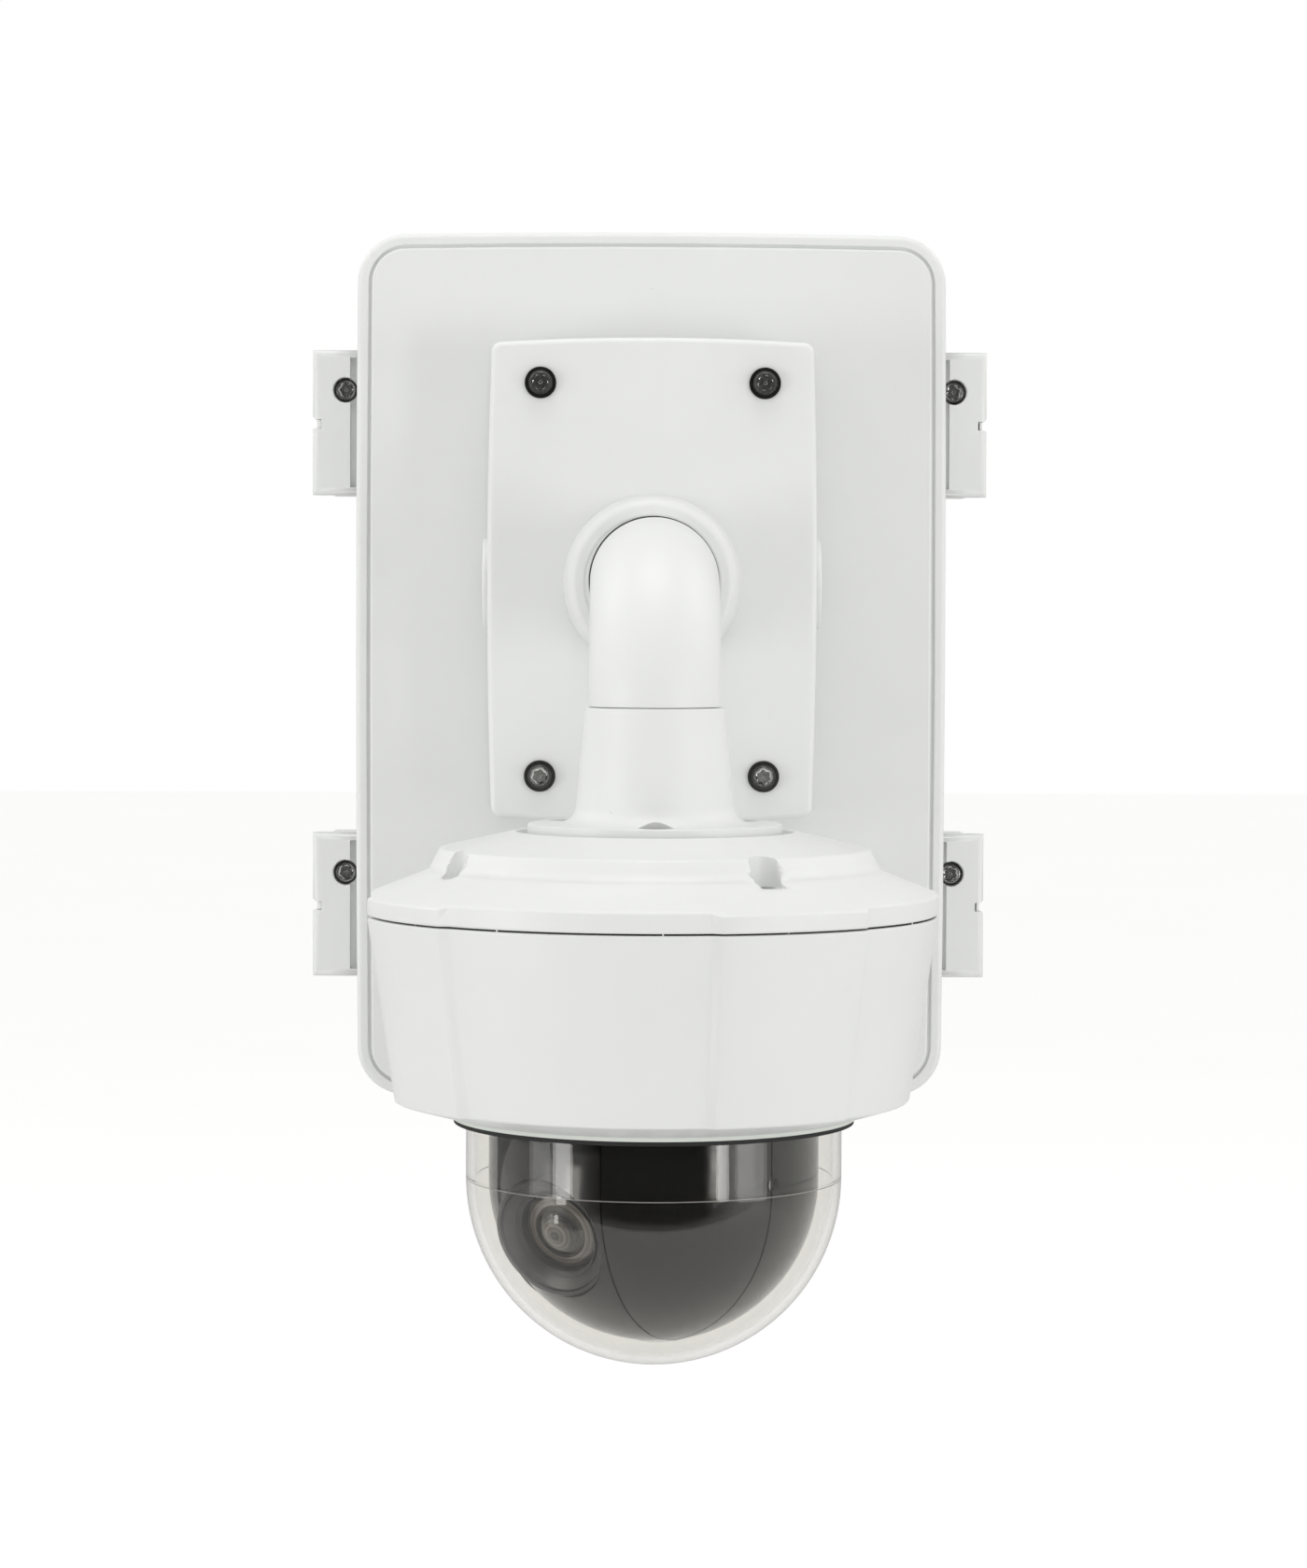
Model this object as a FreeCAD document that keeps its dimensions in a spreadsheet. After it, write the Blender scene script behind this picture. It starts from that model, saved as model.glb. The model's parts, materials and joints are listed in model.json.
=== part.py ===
import FreeCAD, Part
import math
import os
import Sketcher

# Surveillance cabinet with a door-mounted dome camera.
# Millimetres, +Z up, front towards -Y, origin at the centre of the cabinet's back face on the wall.

doc = FreeCAD.newDocument("surveillance_cabinet")

# Driving dimensions
SIZES = [
    # cabinet box
    ("cabinet_depth", 168),
    ("door_depth", 78),
    ("door_width", 238.4),
    ("door_height", 350),
    ("side_bow", 0.9),
    ("top_bow", 1.5),
    ("corner_radius", 19.5),
    ("door_draft", 3),
    ("door_wall", 4),
    ("seam_gap", 1),
    ("box_wall", 4),
    ("flange_width", 7),
    ("flange_thick", 8),
    ("wall_hole_radius", 3.5),
    ("wall_hole_across", 196),
    ("wall_hole_up", 300),
    # door face
    ("rim_band", 4.5),
    ("band_drop", 0.8),
    ("groove_width", 1.2),
    ("groove_depth", 1.4),
    ("edge_round", 2.2),
    ("face_round", 0.9),
    # seal of the box
    ("seal_width", 3),
    ("seal_inset", 1.2),
    ("seal_seat", 2.5),
    # lugs and hinge
    ("lug_out", 22.6),
    ("lug_height", 60.8),
    ("lug_centre", 101.5),
    ("lug_thick", 9.6),
    ("valley_out", 6.8),
    ("lug_end", 3.2),
    ("lug_end_round", 3),
    ("valley_drop", 4.4),
    ("block_short", 7.8),
    ("block_floor", 2),
    ("lug_block_depth", 15),
    ("pin_radius", 1.5),
    ("pin_fit", 0.06),
    ("pin_end_gap", 0.5),
    ("notch_height", 3.6),
    ("notch_shift", 0.5),
    ("notch_inboard", 5.8),
    ("notch_cut", 3.7),
    ("notch_lip", 1.2),
    ("lug_skin", 1.3),
    ("hook_radius", 3.2),
    ("hook_arm", 2.4),
    ("hook_arm_start", 3),
    ("hook_root", 4),
    ("hook_gap", 0.3),
    ("keeper_slot", 3.8),
    ("hinge_slot", 2.6),
    ("door_screw_out", 8.6),
    ("door_screw_rise", 13.6),
    ("door_screw_radius", 2.5),
    ("door_head_radius", 4.9),
    ("door_head_thick", 2.6),
    ("door_head_sink", 3.4),
    ("counterbore_radius", 5.3),
    ("screw_boss_wall", 1.2),
    # equipment
    ("standoff_height", 6),
    ("standoff_radius", 5),
    ("plate_width", 176),
    ("plate_height", 280),
    ("plate_thick", 2),
    ("plate_hole_inset", 8),
    ("plate_screw_radius", 2),
    ("plate_head_radius", 4),
    ("plate_head_thick", 2.4),
    ("rail_length", 164),
    ("rail_width", 35),
    ("rail_crown", 25),
    ("rail_depth", 7.5),
    ("rail_metal", 1),
    ("rail_height", 20),
    ("supply_cover_inset", 0.15),
    ("supply_width", 62),
    ("supply_height", 92),
    ("supply_depth", 44),
    ("breaker_width", 17.5),
    ("breaker_height", 82),
    ("breaker_depth", 34),
    ("breaker_nose", 10),
    ("breaker_nose_height", 45),
    ("lever_length", 9),
    ("lever_slot_play", 0.5),
    ("lever_slot_reach", 1.3),
    ("lever_pivot_radius", 4),
    ("converter_width", 34),
    ("converter_height", 80),
    ("converter_depth", 40),
    ("terminal_pitch", 6),
    ("terminal_count", 5),
    ("terminal_height", 46),
    ("terminal_depth", 30),
    ("equipment_gap", 2),
    # cable glands
    ("gland_spacing", 60),
    ("gland_from_wall", 45),
    ("gland_radius", 10),
    ("gland_bore_radius", 4.5),
    ("gland_hex_radius", 14),
    ("gland_hex_thick", 5),
    ("gland_cap_length", 13),
    ("gland_fit", 0.2),
    ("seat_gap", 0.3),
    # wall bracket on the door
    ("base_width", 130),
    ("base_height", 190.6),
    ("base_depth", 42),
    ("base_centre", 33.5),
    ("base_rise", 1.3),
    ("base_wall", 5),
    ("base_plate", 6),
    ("base_side_bow", 1.8),
    ("base_top_bow", 2.2),
    ("base_corner", 4),
    ("base_edge", 2.4),
    ("base_seal", 1),
    ("base_seal_inset", 1),
    ("screw_across", 88.2),
    ("screw_up", 154.6),
    ("screw_radius", 3),
    ("screw_fit", 0.3),
    ("screw_tip_gap", 1),
    ("slip_fit", 0.05),
    ("cut_past", 1),
    ("screw_head_radius", 4.8),
    ("screw_head_thick", 3.2),
    ("washer_radius", 6.2),
    ("washer_thick", 1.2),
    ("bracket_screw_bite", 5),
    ("column_radius", 8),
    ("door_boss_radius", 7),
    ("door_boss_length", 10),
    ("door_boss_floor", 2),
    ("plug_radius", 17.8),
    ("plug_proud", 2),
    ("plug_length", 5),
    ("collar_radius", 35),
    ("collar_top_radius", 29.5),
    ("collar_height", 7.5),
    ("collar_lip_radius", 26),
    ("collar_gap", 0.8),
    # arm and adapter
    ("arm_reach", 168),
    ("arm_radius", 24),
    ("arm_wall", 4),
    ("arm_bend", 43),
    ("arm_end", -12.2),
    ("arm_flange_radius", 31),
    ("arm_flange_thick", 5),
    ("arm_screw_circle", 27.5),
    ("arm_screw_radius", 1.6),
    ("joint_gap", 0.25),
    ("adapter_top_radius", 25.3),
    ("adapter_low_radius", 28.5),
    ("adapter_bore", 15),
    ("adapter_spigot", 6),
    ("adapter_fillet", 7),
    ("flange_radius", 46.2),
    ("flange_top", -54.4),
    ("flange_bottom", -60.4),
    ("flange_hole_circle", 36),
    ("flange_hole_radius", 6.4),
    ("flange_hole_seat", 2),
    ("adapter_screw_length", 8),
    # camera casing
    ("recess_radius", 50.2),
    ("plateau_inner", -57.1),
    ("plateau_radius", 78),
    ("plateau_edge", -63.4),
    ("skirt_radius", 82),
    ("cover_round", 1.6),
    ("skirt_top", -71.3),
    ("skirt_fall", 0.395),
    ("casing_radius", 102.9),
    ("panel_step", 2.5),
    ("panel_sunk", 0.5),
    ("panel_angle", 34),
    ("panel_slant", 2.4),
    ("panel_azimuth", 28),
    ("seam_level", -86.8),
    ("casing_gap", 0.6),
    ("casing_wall", 3),
    ("casing_bottom", -154.2),
    ("casing_low_radius", 92.8),
    ("underside_radius", 75),
    ("underside_level", -159.6),
    ("underside_lip", 2.5),
    ("fade_inset", 1.5),
    ("seam_seal_inset", 0.2),
    ("seam_seal_set", 1),
    ("notch_width", 9.6),
    ("notch_floor", -73.2),
    ("notch_start", 77.5),
    ("cover_screw_circle", 79.6),
    ("cover_screw_radius", 2),
    ("cover_head_radius", 3.6),
    ("cover_head_fit", 0.4),
    ("cover_head_thick", 3),
    ("cover_boss_radius", 5.5),
    ("cover_screw_length", 26),
    ("cover_head_sink", 1.2),
    # dome
    ("dome_level", -183),
    ("dome_radius", 68.3),
    ("dome_wall", 3),
    ("dome_flange", 4.2),
    ("dome_fit", 0.5),
    ("seal_outer_radius", 74.4),
    ("dome_gasket_radius", 72.8),
    ("dome_gasket_thick", 1.6),
    ("seal_drop", 1.6),
    ("seal_fit", 0.2),
    ("seal_taper", 1),
    ("clamp_thick", 3.5),
    # camera works
    ("chassis_level", -109.3),
    ("chassis_thick", 3),
    ("chassis_radius", 88),
    ("shelf_reach", 14),
    ("shelf_thick", 6),
    ("hub_radius", 16),
    ("hub_bore", 11),
    ("hub_fit", 0.06),
    ("hub_top", -93),
    ("bearing_radius", 22),
    ("bearing_height", 8),
    ("bearing_wall", 4),
    ("boss_clear", 0.5),
    ("pulley_radius", 36),
    ("pulley_thick", 8),
    ("motor_pulley_radius", 8),
    ("motor_reach", 78),
    ("motor_azimuth", 163),
    ("motor_radius", 12),
    ("motor_length", 22),
    ("belt_thick", 1.4),
    ("belt_width", 7),
    ("belt_gap", 0.3),
    ("board_level", -86),
    ("board_radius", 71),
    ("board_thick", 1.6),
    ("pillar_circle", 62),
    ("pillar_radius", 3),
    ("slip_radius", 10),
    ("slip_bottom", -116),
    # pan and tilt head
    ("ball_radius", 60),
    ("drum_radius", 59.6),
    ("head_rest_pan", -32),
    ("head_rest_tilt", 18),
    ("drum_left", 34),
    ("drum_right", 14),
    ("drum_gap", 0.3),
    ("head_wall", 2.5),
    ("head_clear", 2.5),
    ("cap_top", 62),
    ("turntable_thick", 4),
    ("axle_bite", 3),
    ("axle_radius", 4),
    ("axle_fit", 0.06),
    ("tilt_pulley_radius", 18),
    ("tilt_motor_pulley_radius", 6),
    ("tilt_motor_rise", 30),
    ("tilt_motor_radius", 9),
    ("tilt_motor_length", 20),
    ("tilt_pulley_place", 39),
    ("motor_shaft_radius", 2),
    ("cap_screw_radius", 1.1),
    ("cap_screw_seat", 56.6),
    ("cap_screw_forward", 15.4),
    ("cap_screw_level", 3),
    ("lens_radius", 22.4),
    ("lens_fit", 0.2),
    ("barrel_radius", 18.5),
    ("lens_clear", 1.5),
    ("barrel_sunk", 9.4),
    ("glass_radius", 15),
    ("block_height", 34),
    ("block_front", 8),
    ("block_back", 24),
    ("sensor_thick", 1.6),
]

sheet = doc.addObject("Spreadsheet::Sheet", "sizes")
for row, (alias, number) in enumerate(SIZES, start=1):
    sheet.set("A%d" % row, alias)
    sheet.set("B%d" % row, str(number))
    sheet.setAlias("B%d" % row, alias)
doc.recompute()

# Planes and places that follow from the driving dimensions
RIM = "(sizes.cabinet_depth - sizes.door_depth)"
BOX_FRONT = "(%s - sizes.seam_gap)" % RIM
HALF_WIDTH = "(sizes.door_width / 2)"
HALF_HEIGHT = "(sizes.door_height / 2)"
FLANGE_HALF_WIDTH = "(%s + sizes.door_draft)" % HALF_WIDTH
FLANGE_HALF_HEIGHT = "(%s + sizes.door_draft)" % HALF_HEIGHT
BOX_HALF_WIDTH = "(%s - sizes.flange_width)" % FLANGE_HALF_WIDTH
BOX_HALF_HEIGHT = "(%s - sizes.flange_width)" % FLANGE_HALF_HEIGHT
LUG_FRONT = "(%s + sizes.lug_thick)" % RIM
PIN_DEPTH = "(%s + sizes.lug_thick / 2)" % RIM
LUG_REACH = "(%s + sizes.lug_out)" % HALF_WIDTH
LUG_VALLEY = "(%s + sizes.valley_out)" % HALF_WIDTH
BLOCK_REACH = "(%s - sizes.block_short)" % LUG_REACH
DOOR_SCREW_ACROSS = "(%s + sizes.door_screw_out)" % HALF_WIDTH
PIN_ACROSS = "(%s - sizes.lug_thick / 2)" % LUG_REACH
PLATE_HOLE_ACROSS = "(sizes.plate_width - 2 * sizes.plate_hole_inset)"
PLATE_HOLE_UP = "(sizes.plate_height - 2 * sizes.plate_hole_inset)"
PLATE_BACK = "(sizes.box_wall + sizes.standoff_height)"
PLATE_FRONT = "(%s + sizes.plate_thick)" % PLATE_BACK
RAIL_FRONT = "(%s + sizes.rail_depth)" % PLATE_FRONT
BASE_BACK = "(sizes.cabinet_depth + sizes.base_seal)"
BASE_FRONT = "(sizes.cabinet_depth + sizes.base_depth)"
BASE_MIDDLE = "(sizes.base_centre + sizes.base_rise)"
CAMERA_OUT = "(sizes.cabinet_depth + sizes.arm_reach)"
ARM_BORE = "(sizes.arm_radius - sizes.arm_wall)"
CASING_TOP = "(sizes.seam_level - sizes.casing_gap)"
SEAL_LEVEL = "(sizes.underside_level - sizes.seal_drop)"
CHASSIS_BOTTOM = "(sizes.chassis_level - sizes.chassis_thick)"
BEARING_BOTTOM = CHASSIS_BOTTOM
BEARING_TOP = "(%s + sizes.bearing_height)" % BEARING_BOTTOM
PULLEY_BOTTOM = "(%s + sizes.belt_gap)" % BEARING_TOP
SIDES = (1, -1)
QUARTERS = ((1, 1), (1, -1), (-1, 1), (-1, -1))

parts = []


# Helpers: values, bodies and sketches
def value(expression):
    return float(sheet.evalExpression(str(expression)))


def new_body(label):
    body = doc.addObject("PartDesign::Body", label)
    body.Label = label
    body.AllowCompound = True
    parts.append(body)
    return body


def keep(label, item):
    item.Label = label
    parts.append(item)
    return item


def origin_plane(body, role):
    return [item for item in body.Origin.OriginFeatures if item.Role == role][0]


def sketch_on(body, role, offset="0"):
    sketch = body.newObject("Sketcher::SketchObject", body.Label + "_sketch")
    sketch.AttachmentSupport = [(origin_plane(body, role), "")]
    sketch.MapMode = "FlatFace"
    sketch.setExpression("AttachmentOffset.Base.z", offset)
    return sketch


def constrain(sketch, kind, places, expression):
    constraint = Sketcher.Constraint(kind, *places, value(expression))
    index = sketch.addConstraint(constraint)
    sketch.setExpression("Constraints[%d]" % index, expression)


def fix_point(sketch, item, end, across, up):
    constrain(sketch, "DistanceX", (-1, 1, item, end), across)
    constrain(sketch, "DistanceY", (-1, 1, item, end), up)


def draw_polygon(sketch, corners):
    points = [FreeCAD.Vector(value(across), value(up), 0) for across, up in corners]
    count = len(points)
    lines = [Part.LineSegment(points[i], points[(i + 1) % count]) for i in range(count)]
    first = sketch.addGeometry(lines, False)[0]
    sketch.addConstraint([
        Sketcher.Constraint("Coincident", first + i, 2, first + (i + 1) % count, 1) for i in range(count)])
    for i, (across, up) in enumerate(corners):
        fix_point(sketch, first + i, 1, across, up)


def draw_rectangle(sketch, left, right, low, high):
    draw_polygon(sketch, [(left, low), (right, low), (right, high), (left, high)])


def draw_circle(sketch, across, up, radius):
    centre = FreeCAD.Vector(value(across), value(up), 0)
    circle = Part.Circle(centre, FreeCAD.Vector(0, 0, 1), value(radius))
    item = sketch.addGeometry([circle], False)[0]
    fix_point(sketch, item, 3, across, up)
    constrain(sketch, "Radius", (item,), radius)


# A closed outline of four shallow arcs and four corner arcs, all tangent.
# The bow of each side is its rise over the full width or height, and the inset moves every arc inwards.
def draw_bowed_outline(sketch, half_width, half_height, side_bow, top_bow, corner, inset="0", centre_up="0"):
    inset = "(%s)" % inset
    side_radius = "((%s)^2 / (2 * %s) + %s / 2)" % (half_height, side_bow, side_bow)
    top_radius = "((%s)^2 / (2 * %s) + %s / 2)" % (half_width, top_bow, top_bow)
    width, height = value(half_width), value(half_height)
    side, top, round_corner = value(side_radius), value(top_radius), value(corner)
    shift, middle = value(inset), value(centre_up)
    # Corner centre: where the two bows, moved inwards by the corner radius, cross
    x, y = width - round_corner, height - round_corner
    for _ in range(20):
        x = -(side - width) + math.sqrt((side - round_corner) ** 2 - y ** 2)
        y = -(top - height) + math.sqrt((top - round_corner) ** 2 - x ** 2)
    lean_side = math.atan2(y, x + side - width)
    lean_top = math.atan2(y + top - height, x)
    axis = FreeCAD.Vector(0, 0, 1)

    def arc(cx, cy, radius, start, end):
        circle = Part.Circle(FreeCAD.Vector(cx, cy + middle, 0), axis, radius)
        return Part.ArcOfCircle(circle, start, end)

    quarter = math.pi / 2
    arcs = [
        arc(width - side, 0, side - shift, -lean_side, lean_side),
        arc(x, y, round_corner - shift, lean_side, lean_top),
        arc(0, height - top, top - shift, lean_top, 2 * quarter - lean_top),
        arc(-x, y, round_corner - shift, 2 * quarter - lean_top, 2 * quarter - lean_side),
        arc(side - width, 0, side - shift, 2 * quarter - lean_side, 2 * quarter + lean_side),
        arc(-x, -y, round_corner - shift, 2 * quarter + lean_side, 2 * quarter + lean_top),
        arc(0, top - height, top - shift, 2 * quarter + lean_top, 4 * quarter - lean_top),
        arc(x, -y, round_corner - shift, 4 * quarter - lean_top, 4 * quarter - lean_side),
    ]
    first = sketch.addGeometry(arcs, False)[0]
    for i in range(8):
        sketch.addConstraint(Sketcher.Constraint("Tangent", first + i, 2, first + (i + 1) % 8, 1))
    across = "(%s - %s)" % (half_width, side_radius)
    up = "(%s - %s)" % (half_height, top_radius)
    fix_point(sketch, first, 3, across, centre_up)
    fix_point(sketch, first + 2, 3, "0", "%s + %s" % (centre_up, up))
    fix_point(sketch, first + 4, 3, "-" + across, centre_up)
    fix_point(sketch, first + 6, 3, "0", "%s - %s" % (centre_up, up))
    for i, radius in ((0, side_radius), (2, top_radius), (4, side_radius), (6, top_radius)):
        constrain(sketch, "Radius", (first + i,), "%s - %s" % (radius, inset))
    for i in (1, 3, 5, 7):
        constrain(sketch, "Radius", (first + i,), "%s - %s" % (corner, inset))


# Helpers: features
def check_change(body, before, grows):
    doc.recompute()
    after = body.Shape.Volume
    if grows and after <= before or not grows and after >= before:
        raise RuntimeError("%s: a feature changed nothing (%s)" % (body.Label, body.Tip.Name))


def volume_of(body):
    return body.Shape.Volume if body.Tip else 0.0


def pad(body, sketch, length, backwards=False):
    before = volume_of(body)
    feature = body.newObject("PartDesign::Pad", body.Label + "_pad")
    feature.Profile = sketch
    feature.setExpression("Length", length)
    feature.Reversed = backwards
    check_change(body, before, True)
    return feature


def pocket(body, sketch, length, backwards=False):
    before = volume_of(body)
    feature = body.newObject("PartDesign::Pocket", body.Label + "_pocket")
    feature.Profile = sketch
    feature.setExpression("Length", length)
    feature.Reversed = backwards
    check_change(body, before, False)
    return feature


def turn(body, sketch, cut=False, axis="V_Axis"):
    before = volume_of(body)
    kind = "PartDesign::Groove" if cut else "PartDesign::Revolution"
    feature = body.newObject(kind, body.Label + "_turn")
    feature.Profile = sketch
    feature.ReferenceAxis = (sketch, [axis])
    feature.Angle = 360
    check_change(body, before, not cut)
    return feature


def loft(body, sketches, cut=False):
    before = volume_of(body)
    kind = "PartDesign::SubtractiveLoft" if cut else "PartDesign::AdditiveLoft"
    feature = body.newObject(kind, body.Label + "_loft")
    feature.Profile = sketches[0]
    feature.Sections = sketches[1:]
    feature.Ruled = True
    check_change(body, before, not cut)
    return feature


def sweep(body, sketch, path, cut=False):
    before = volume_of(body)
    kind = "PartDesign::SubtractivePipe" if cut else "PartDesign::AdditivePipe"
    feature = body.newObject(kind, body.Label + "_sweep")
    feature.Profile = sketch
    feature.Spine = (path, [])
    check_change(body, before, not cut)
    return feature


def pattern(body, features, count):
    before = volume_of(body)
    feature = body.newObject("PartDesign::PolarPattern", body.Label + "_pattern")
    feature.Originals = features
    feature.Axis = (origin_plane(body, "Z_Axis"), [""])
    feature.Angle = 360
    feature.Occurrences = count
    body.Tip = feature
    doc.recompute()
    if abs(volume_of(body) - before) < 1:
        raise RuntimeError("%s: the pattern changed nothing" % body.Label)
    return feature


def round_edges(body, radius, wanted):
    base = body.Tip
    names = ["Edge%d" % (i + 1) for i, edge in enumerate(base.Shape.Edges) if wanted(edge)]
    if not names:
        raise RuntimeError("%s: no edge to round" % body.Label)
    feature = body.newObject("PartDesign::Fillet", body.Label + "_round")
    feature.Base = (base, names)
    feature.setExpression("Radius", radius)
    doc.recompute()
    return feature


# Edge pickers
def flat_edge(axis, level):
    target = value(level)

    def wanted(edge):
        box = edge.BoundBox
        low, high = (box.YMin, box.YMax) if axis == "y" else (box.ZMin, box.ZMax)
        return abs(low - target) < 1e-3 and abs(high - target) < 1e-3

    return wanted


def ring_edge(level, radius):
    height, reach = value(level), value(radius)

    def wanted(edge):
        box = edge.BoundBox
        flat = abs(box.ZMin - height) < 1e-3 and abs(box.ZMax - height) < 1e-3
        point = edge.Vertexes[0].Point
        return flat and abs(math.hypot(point.x, point.y) - reach) < 1e-3

    return wanted


# Helpers: Part primitives with bound sizes and places
def place(item, x="0", y="0", z="0", axis=None, angle=0):
    if axis:
        item.Placement = FreeCAD.Placement(FreeCAD.Vector(), FreeCAD.Rotation(FreeCAD.Vector(*axis), angle))
    item.setExpression("Placement.Base.x", x)
    item.setExpression("Placement.Base.y", y)
    item.setExpression("Placement.Base.z", z)
    return item


def cylinder(name, radius, height, x="0", y="0", z="0", axis=None, angle=0):
    item = doc.addObject("Part::Cylinder", name)
    item.setExpression("Radius", radius)
    item.setExpression("Height", height)
    return place(item, x, y, z, axis, angle)


def prism(name, radius, height, x="0", y="0", z="0", axis=None, angle=0):
    item = doc.addObject("Part::Prism", name)
    item.Polygon = 6
    item.setExpression("Circumradius", radius)
    item.setExpression("Height", height)
    return place(item, x, y, z, axis, angle)


def block(name, length, width, height, x, y, z):
    item = doc.addObject("Part::Box", name)
    item.setExpression("Length", length)
    item.setExpression("Width", width)
    item.setExpression("Height", height)
    return place(item, x, y, z)


def fuse(name, items):
    item = doc.addObject("Part::MultiFuse", name)
    item.Shapes = items
    item.Refine = True
    return item


def cut(name, base, tool):
    item = doc.addObject("Part::Cut", name)
    item.Base = base
    item.Tool = tool
    return item


def group(label, items):
    item = doc.addObject("Part::Compound", label)
    item.Links = items
    return keep(label, item)


FORWARD = ((1, 0, 0), 90)


# A screw with a pan head and a socket: the head's top faces forward (-Y) or up
def screw(name, x, y, z, shank, shank_length, head, head_thick, upright=False):
    shank_length = "(%s)" % shank_length
    if upright:
        tool_axis, tool_angle = (None, 0)
        shank_start = (x, y, "%s - %s" % (z, shank_length))
        socket_start = (x, y, "%s + %s / 2" % (z, head_thick))
    else:
        tool_axis, tool_angle = FORWARD
        shank_start = (x, "%s + %s" % (y, shank_length), z)
        socket_start = (x, "%s - %s / 2" % (y, head_thick), z)
    top = cylinder(name + "_head", head, head_thick, x, y, z, tool_axis, tool_angle)
    stem = cylinder(name + "_shank", shank, shank_length, *shank_start, tool_axis, tool_angle)
    whole = fuse(name + "_blank", [top, stem])
    socket = prism(name + "_socket", "%s / 2" % head, head_thick, *socket_start, tool_axis, tool_angle)
    return cut(name, whole, socket)


# Cabinet body: box, flange, lug blocks, hinge hooks, bosses and holes
def make_cabinet_body():
    body = new_body("cabinet_body")
    no_flange = "sizes.flange_width"
    sketch = sketch_on(body, "XZ_Plane")
    door_outline(sketch, no_flange)
    pad(body, sketch, BOX_FRONT)
    sketch = sketch_on(body, "XZ_Plane", "%s - sizes.flange_thick" % BOX_FRONT)
    door_outline(sketch)
    pad(body, sketch, "sizes.flange_thick")
    # Lug blocks behind the door's lugs
    sketch = sketch_on(body, "XZ_Plane", "%s - sizes.lug_block_depth" % BOX_FRONT)
    for side, level in QUARTERS:
        inner, outer = sorted((
            "%d * %s" % (side, BOX_HALF_WIDTH), "%d * %s" % (side, BLOCK_REACH)), key=value)
        low = "%d * sizes.lug_centre - sizes.lug_height / 2" % level
        high = "%d * sizes.lug_centre + sizes.lug_height / 2" % level
        draw_rectangle(sketch, inner, outer, low, high)
    pad(body, sketch, "sizes.lug_block_depth")
    # Hollow
    sketch = sketch_on(body, "XZ_Plane", BOX_FRONT)
    door_outline(sketch, no_flange + " + sizes.box_wall")
    pocket(body, sketch, "%s - sizes.box_wall" % BOX_FRONT)
    # Seat of the seal
    sketch = sketch_on(body, "XZ_Plane", BOX_FRONT)
    door_outline(sketch, "sizes.seal_inset")
    door_outline(sketch, "sizes.seal_inset + sizes.seal_width")
    pocket(body, sketch, "sizes.seal_seat")
    # Standoffs for the mounting plate
    sketch = sketch_on(body, "XZ_Plane", "sizes.box_wall")
    for side, level in QUARTERS:
        draw_circle(sketch, "%d * %s / 2" % (side, PLATE_HOLE_ACROSS),
                    "%d * %s / 2" % (level, PLATE_HOLE_UP), "sizes.standoff_radius")
    pad(body, sketch, "sizes.standoff_height")
    sketch = sketch_on(body, "XZ_Plane", PLATE_BACK)
    for side, level in QUARTERS:
        draw_circle(sketch, "%d * %s / 2" % (side, PLATE_HOLE_ACROSS),
                    "%d * %s / 2" % (level, PLATE_HOLE_UP), "sizes.plate_screw_radius + sizes.screw_fit / 2")
    pocket(body, sketch, "sizes.standoff_height")
    # Holes for the wall screws
    sketch = sketch_on(body, "XZ_Plane", "sizes.box_wall")
    for side, level in QUARTERS:
        draw_circle(sketch, "%d * sizes.wall_hole_across / 2" % side,
                    "%d * sizes.wall_hole_up / 2" % level, "sizes.wall_hole_radius")
    pocket(body, sketch, "sizes.box_wall")
    # Holes for the cable glands in the floor
    sketch = sketch_on(body, "XY_Plane", "-%s + sizes.box_wall + sizes.cut_past" % BOX_HALF_HEIGHT)
    for side in SIDES:
        draw_circle(sketch, "%d * sizes.gland_spacing / 2" % side, "-sizes.gland_from_wall",
                    "sizes.gland_radius + sizes.gland_fit")
    pocket(body, sketch, "2 * sizes.box_wall")
    # Tapped holes for the door screws
    sketch = sketch_on(body, "XZ_Plane", BOX_FRONT)
    for side, level in QUARTERS:
        draw_circle(sketch, "%d * %s" % (side, DOOR_SCREW_ACROSS),
                    "%d * sizes.lug_centre + sizes.door_screw_rise" % level, "sizes.door_screw_radius")
    pocket(body, sketch, "sizes.lug_block_depth - sizes.block_floor")
    # Hinge hooks: arms that end in a ring round each pin, open in front so that the pin snaps in
    for level in SIDES:
        sketch = sketch_on(body, "XY_Plane", hook_level(level))
        for side in SIDES:
            draw_polygon(sketch, hook_corners(side))
        pad(body, sketch, HOOK_THICK)
        sketch = sketch_on(body, "XY_Plane", hook_level(level))
        for side in SIDES:
            draw_circle(sketch, "%d * %s" % (side, PIN_ACROSS), "-" + PIN_DEPTH, "sizes.hook_radius")
        pad(body, sketch, HOOK_THICK)
    for side, slot in ((-1, "sizes.hinge_slot"), (1, "sizes.keeper_slot")):
        for level in SIDES:
            start = "%s + %s" % (hook_level(level), HOOK_THICK)
            sketch = sketch_on(body, "XY_Plane", start)
            draw_circle(sketch, "%d * %s" % (side, PIN_ACROSS), "-" + PIN_DEPTH,
                        "sizes.pin_radius + sizes.pin_fit")
            pocket(body, sketch, HOOK_THICK)
            sketch = sketch_on(body, "XY_Plane", start)
            centre = "%d * %s" % (side, PIN_ACROSS)
            draw_rectangle(sketch, "%s - %s / 2" % (centre, slot), "%s + %s / 2" % (centre, slot),
                           "-%s - 2 * sizes.hook_radius" % PIN_DEPTH, "-" + PIN_DEPTH)
            pocket(body, sketch, HOOK_THICK)


HOOK_THICK = "(sizes.notch_height - 2 * sizes.hook_gap)"


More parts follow.
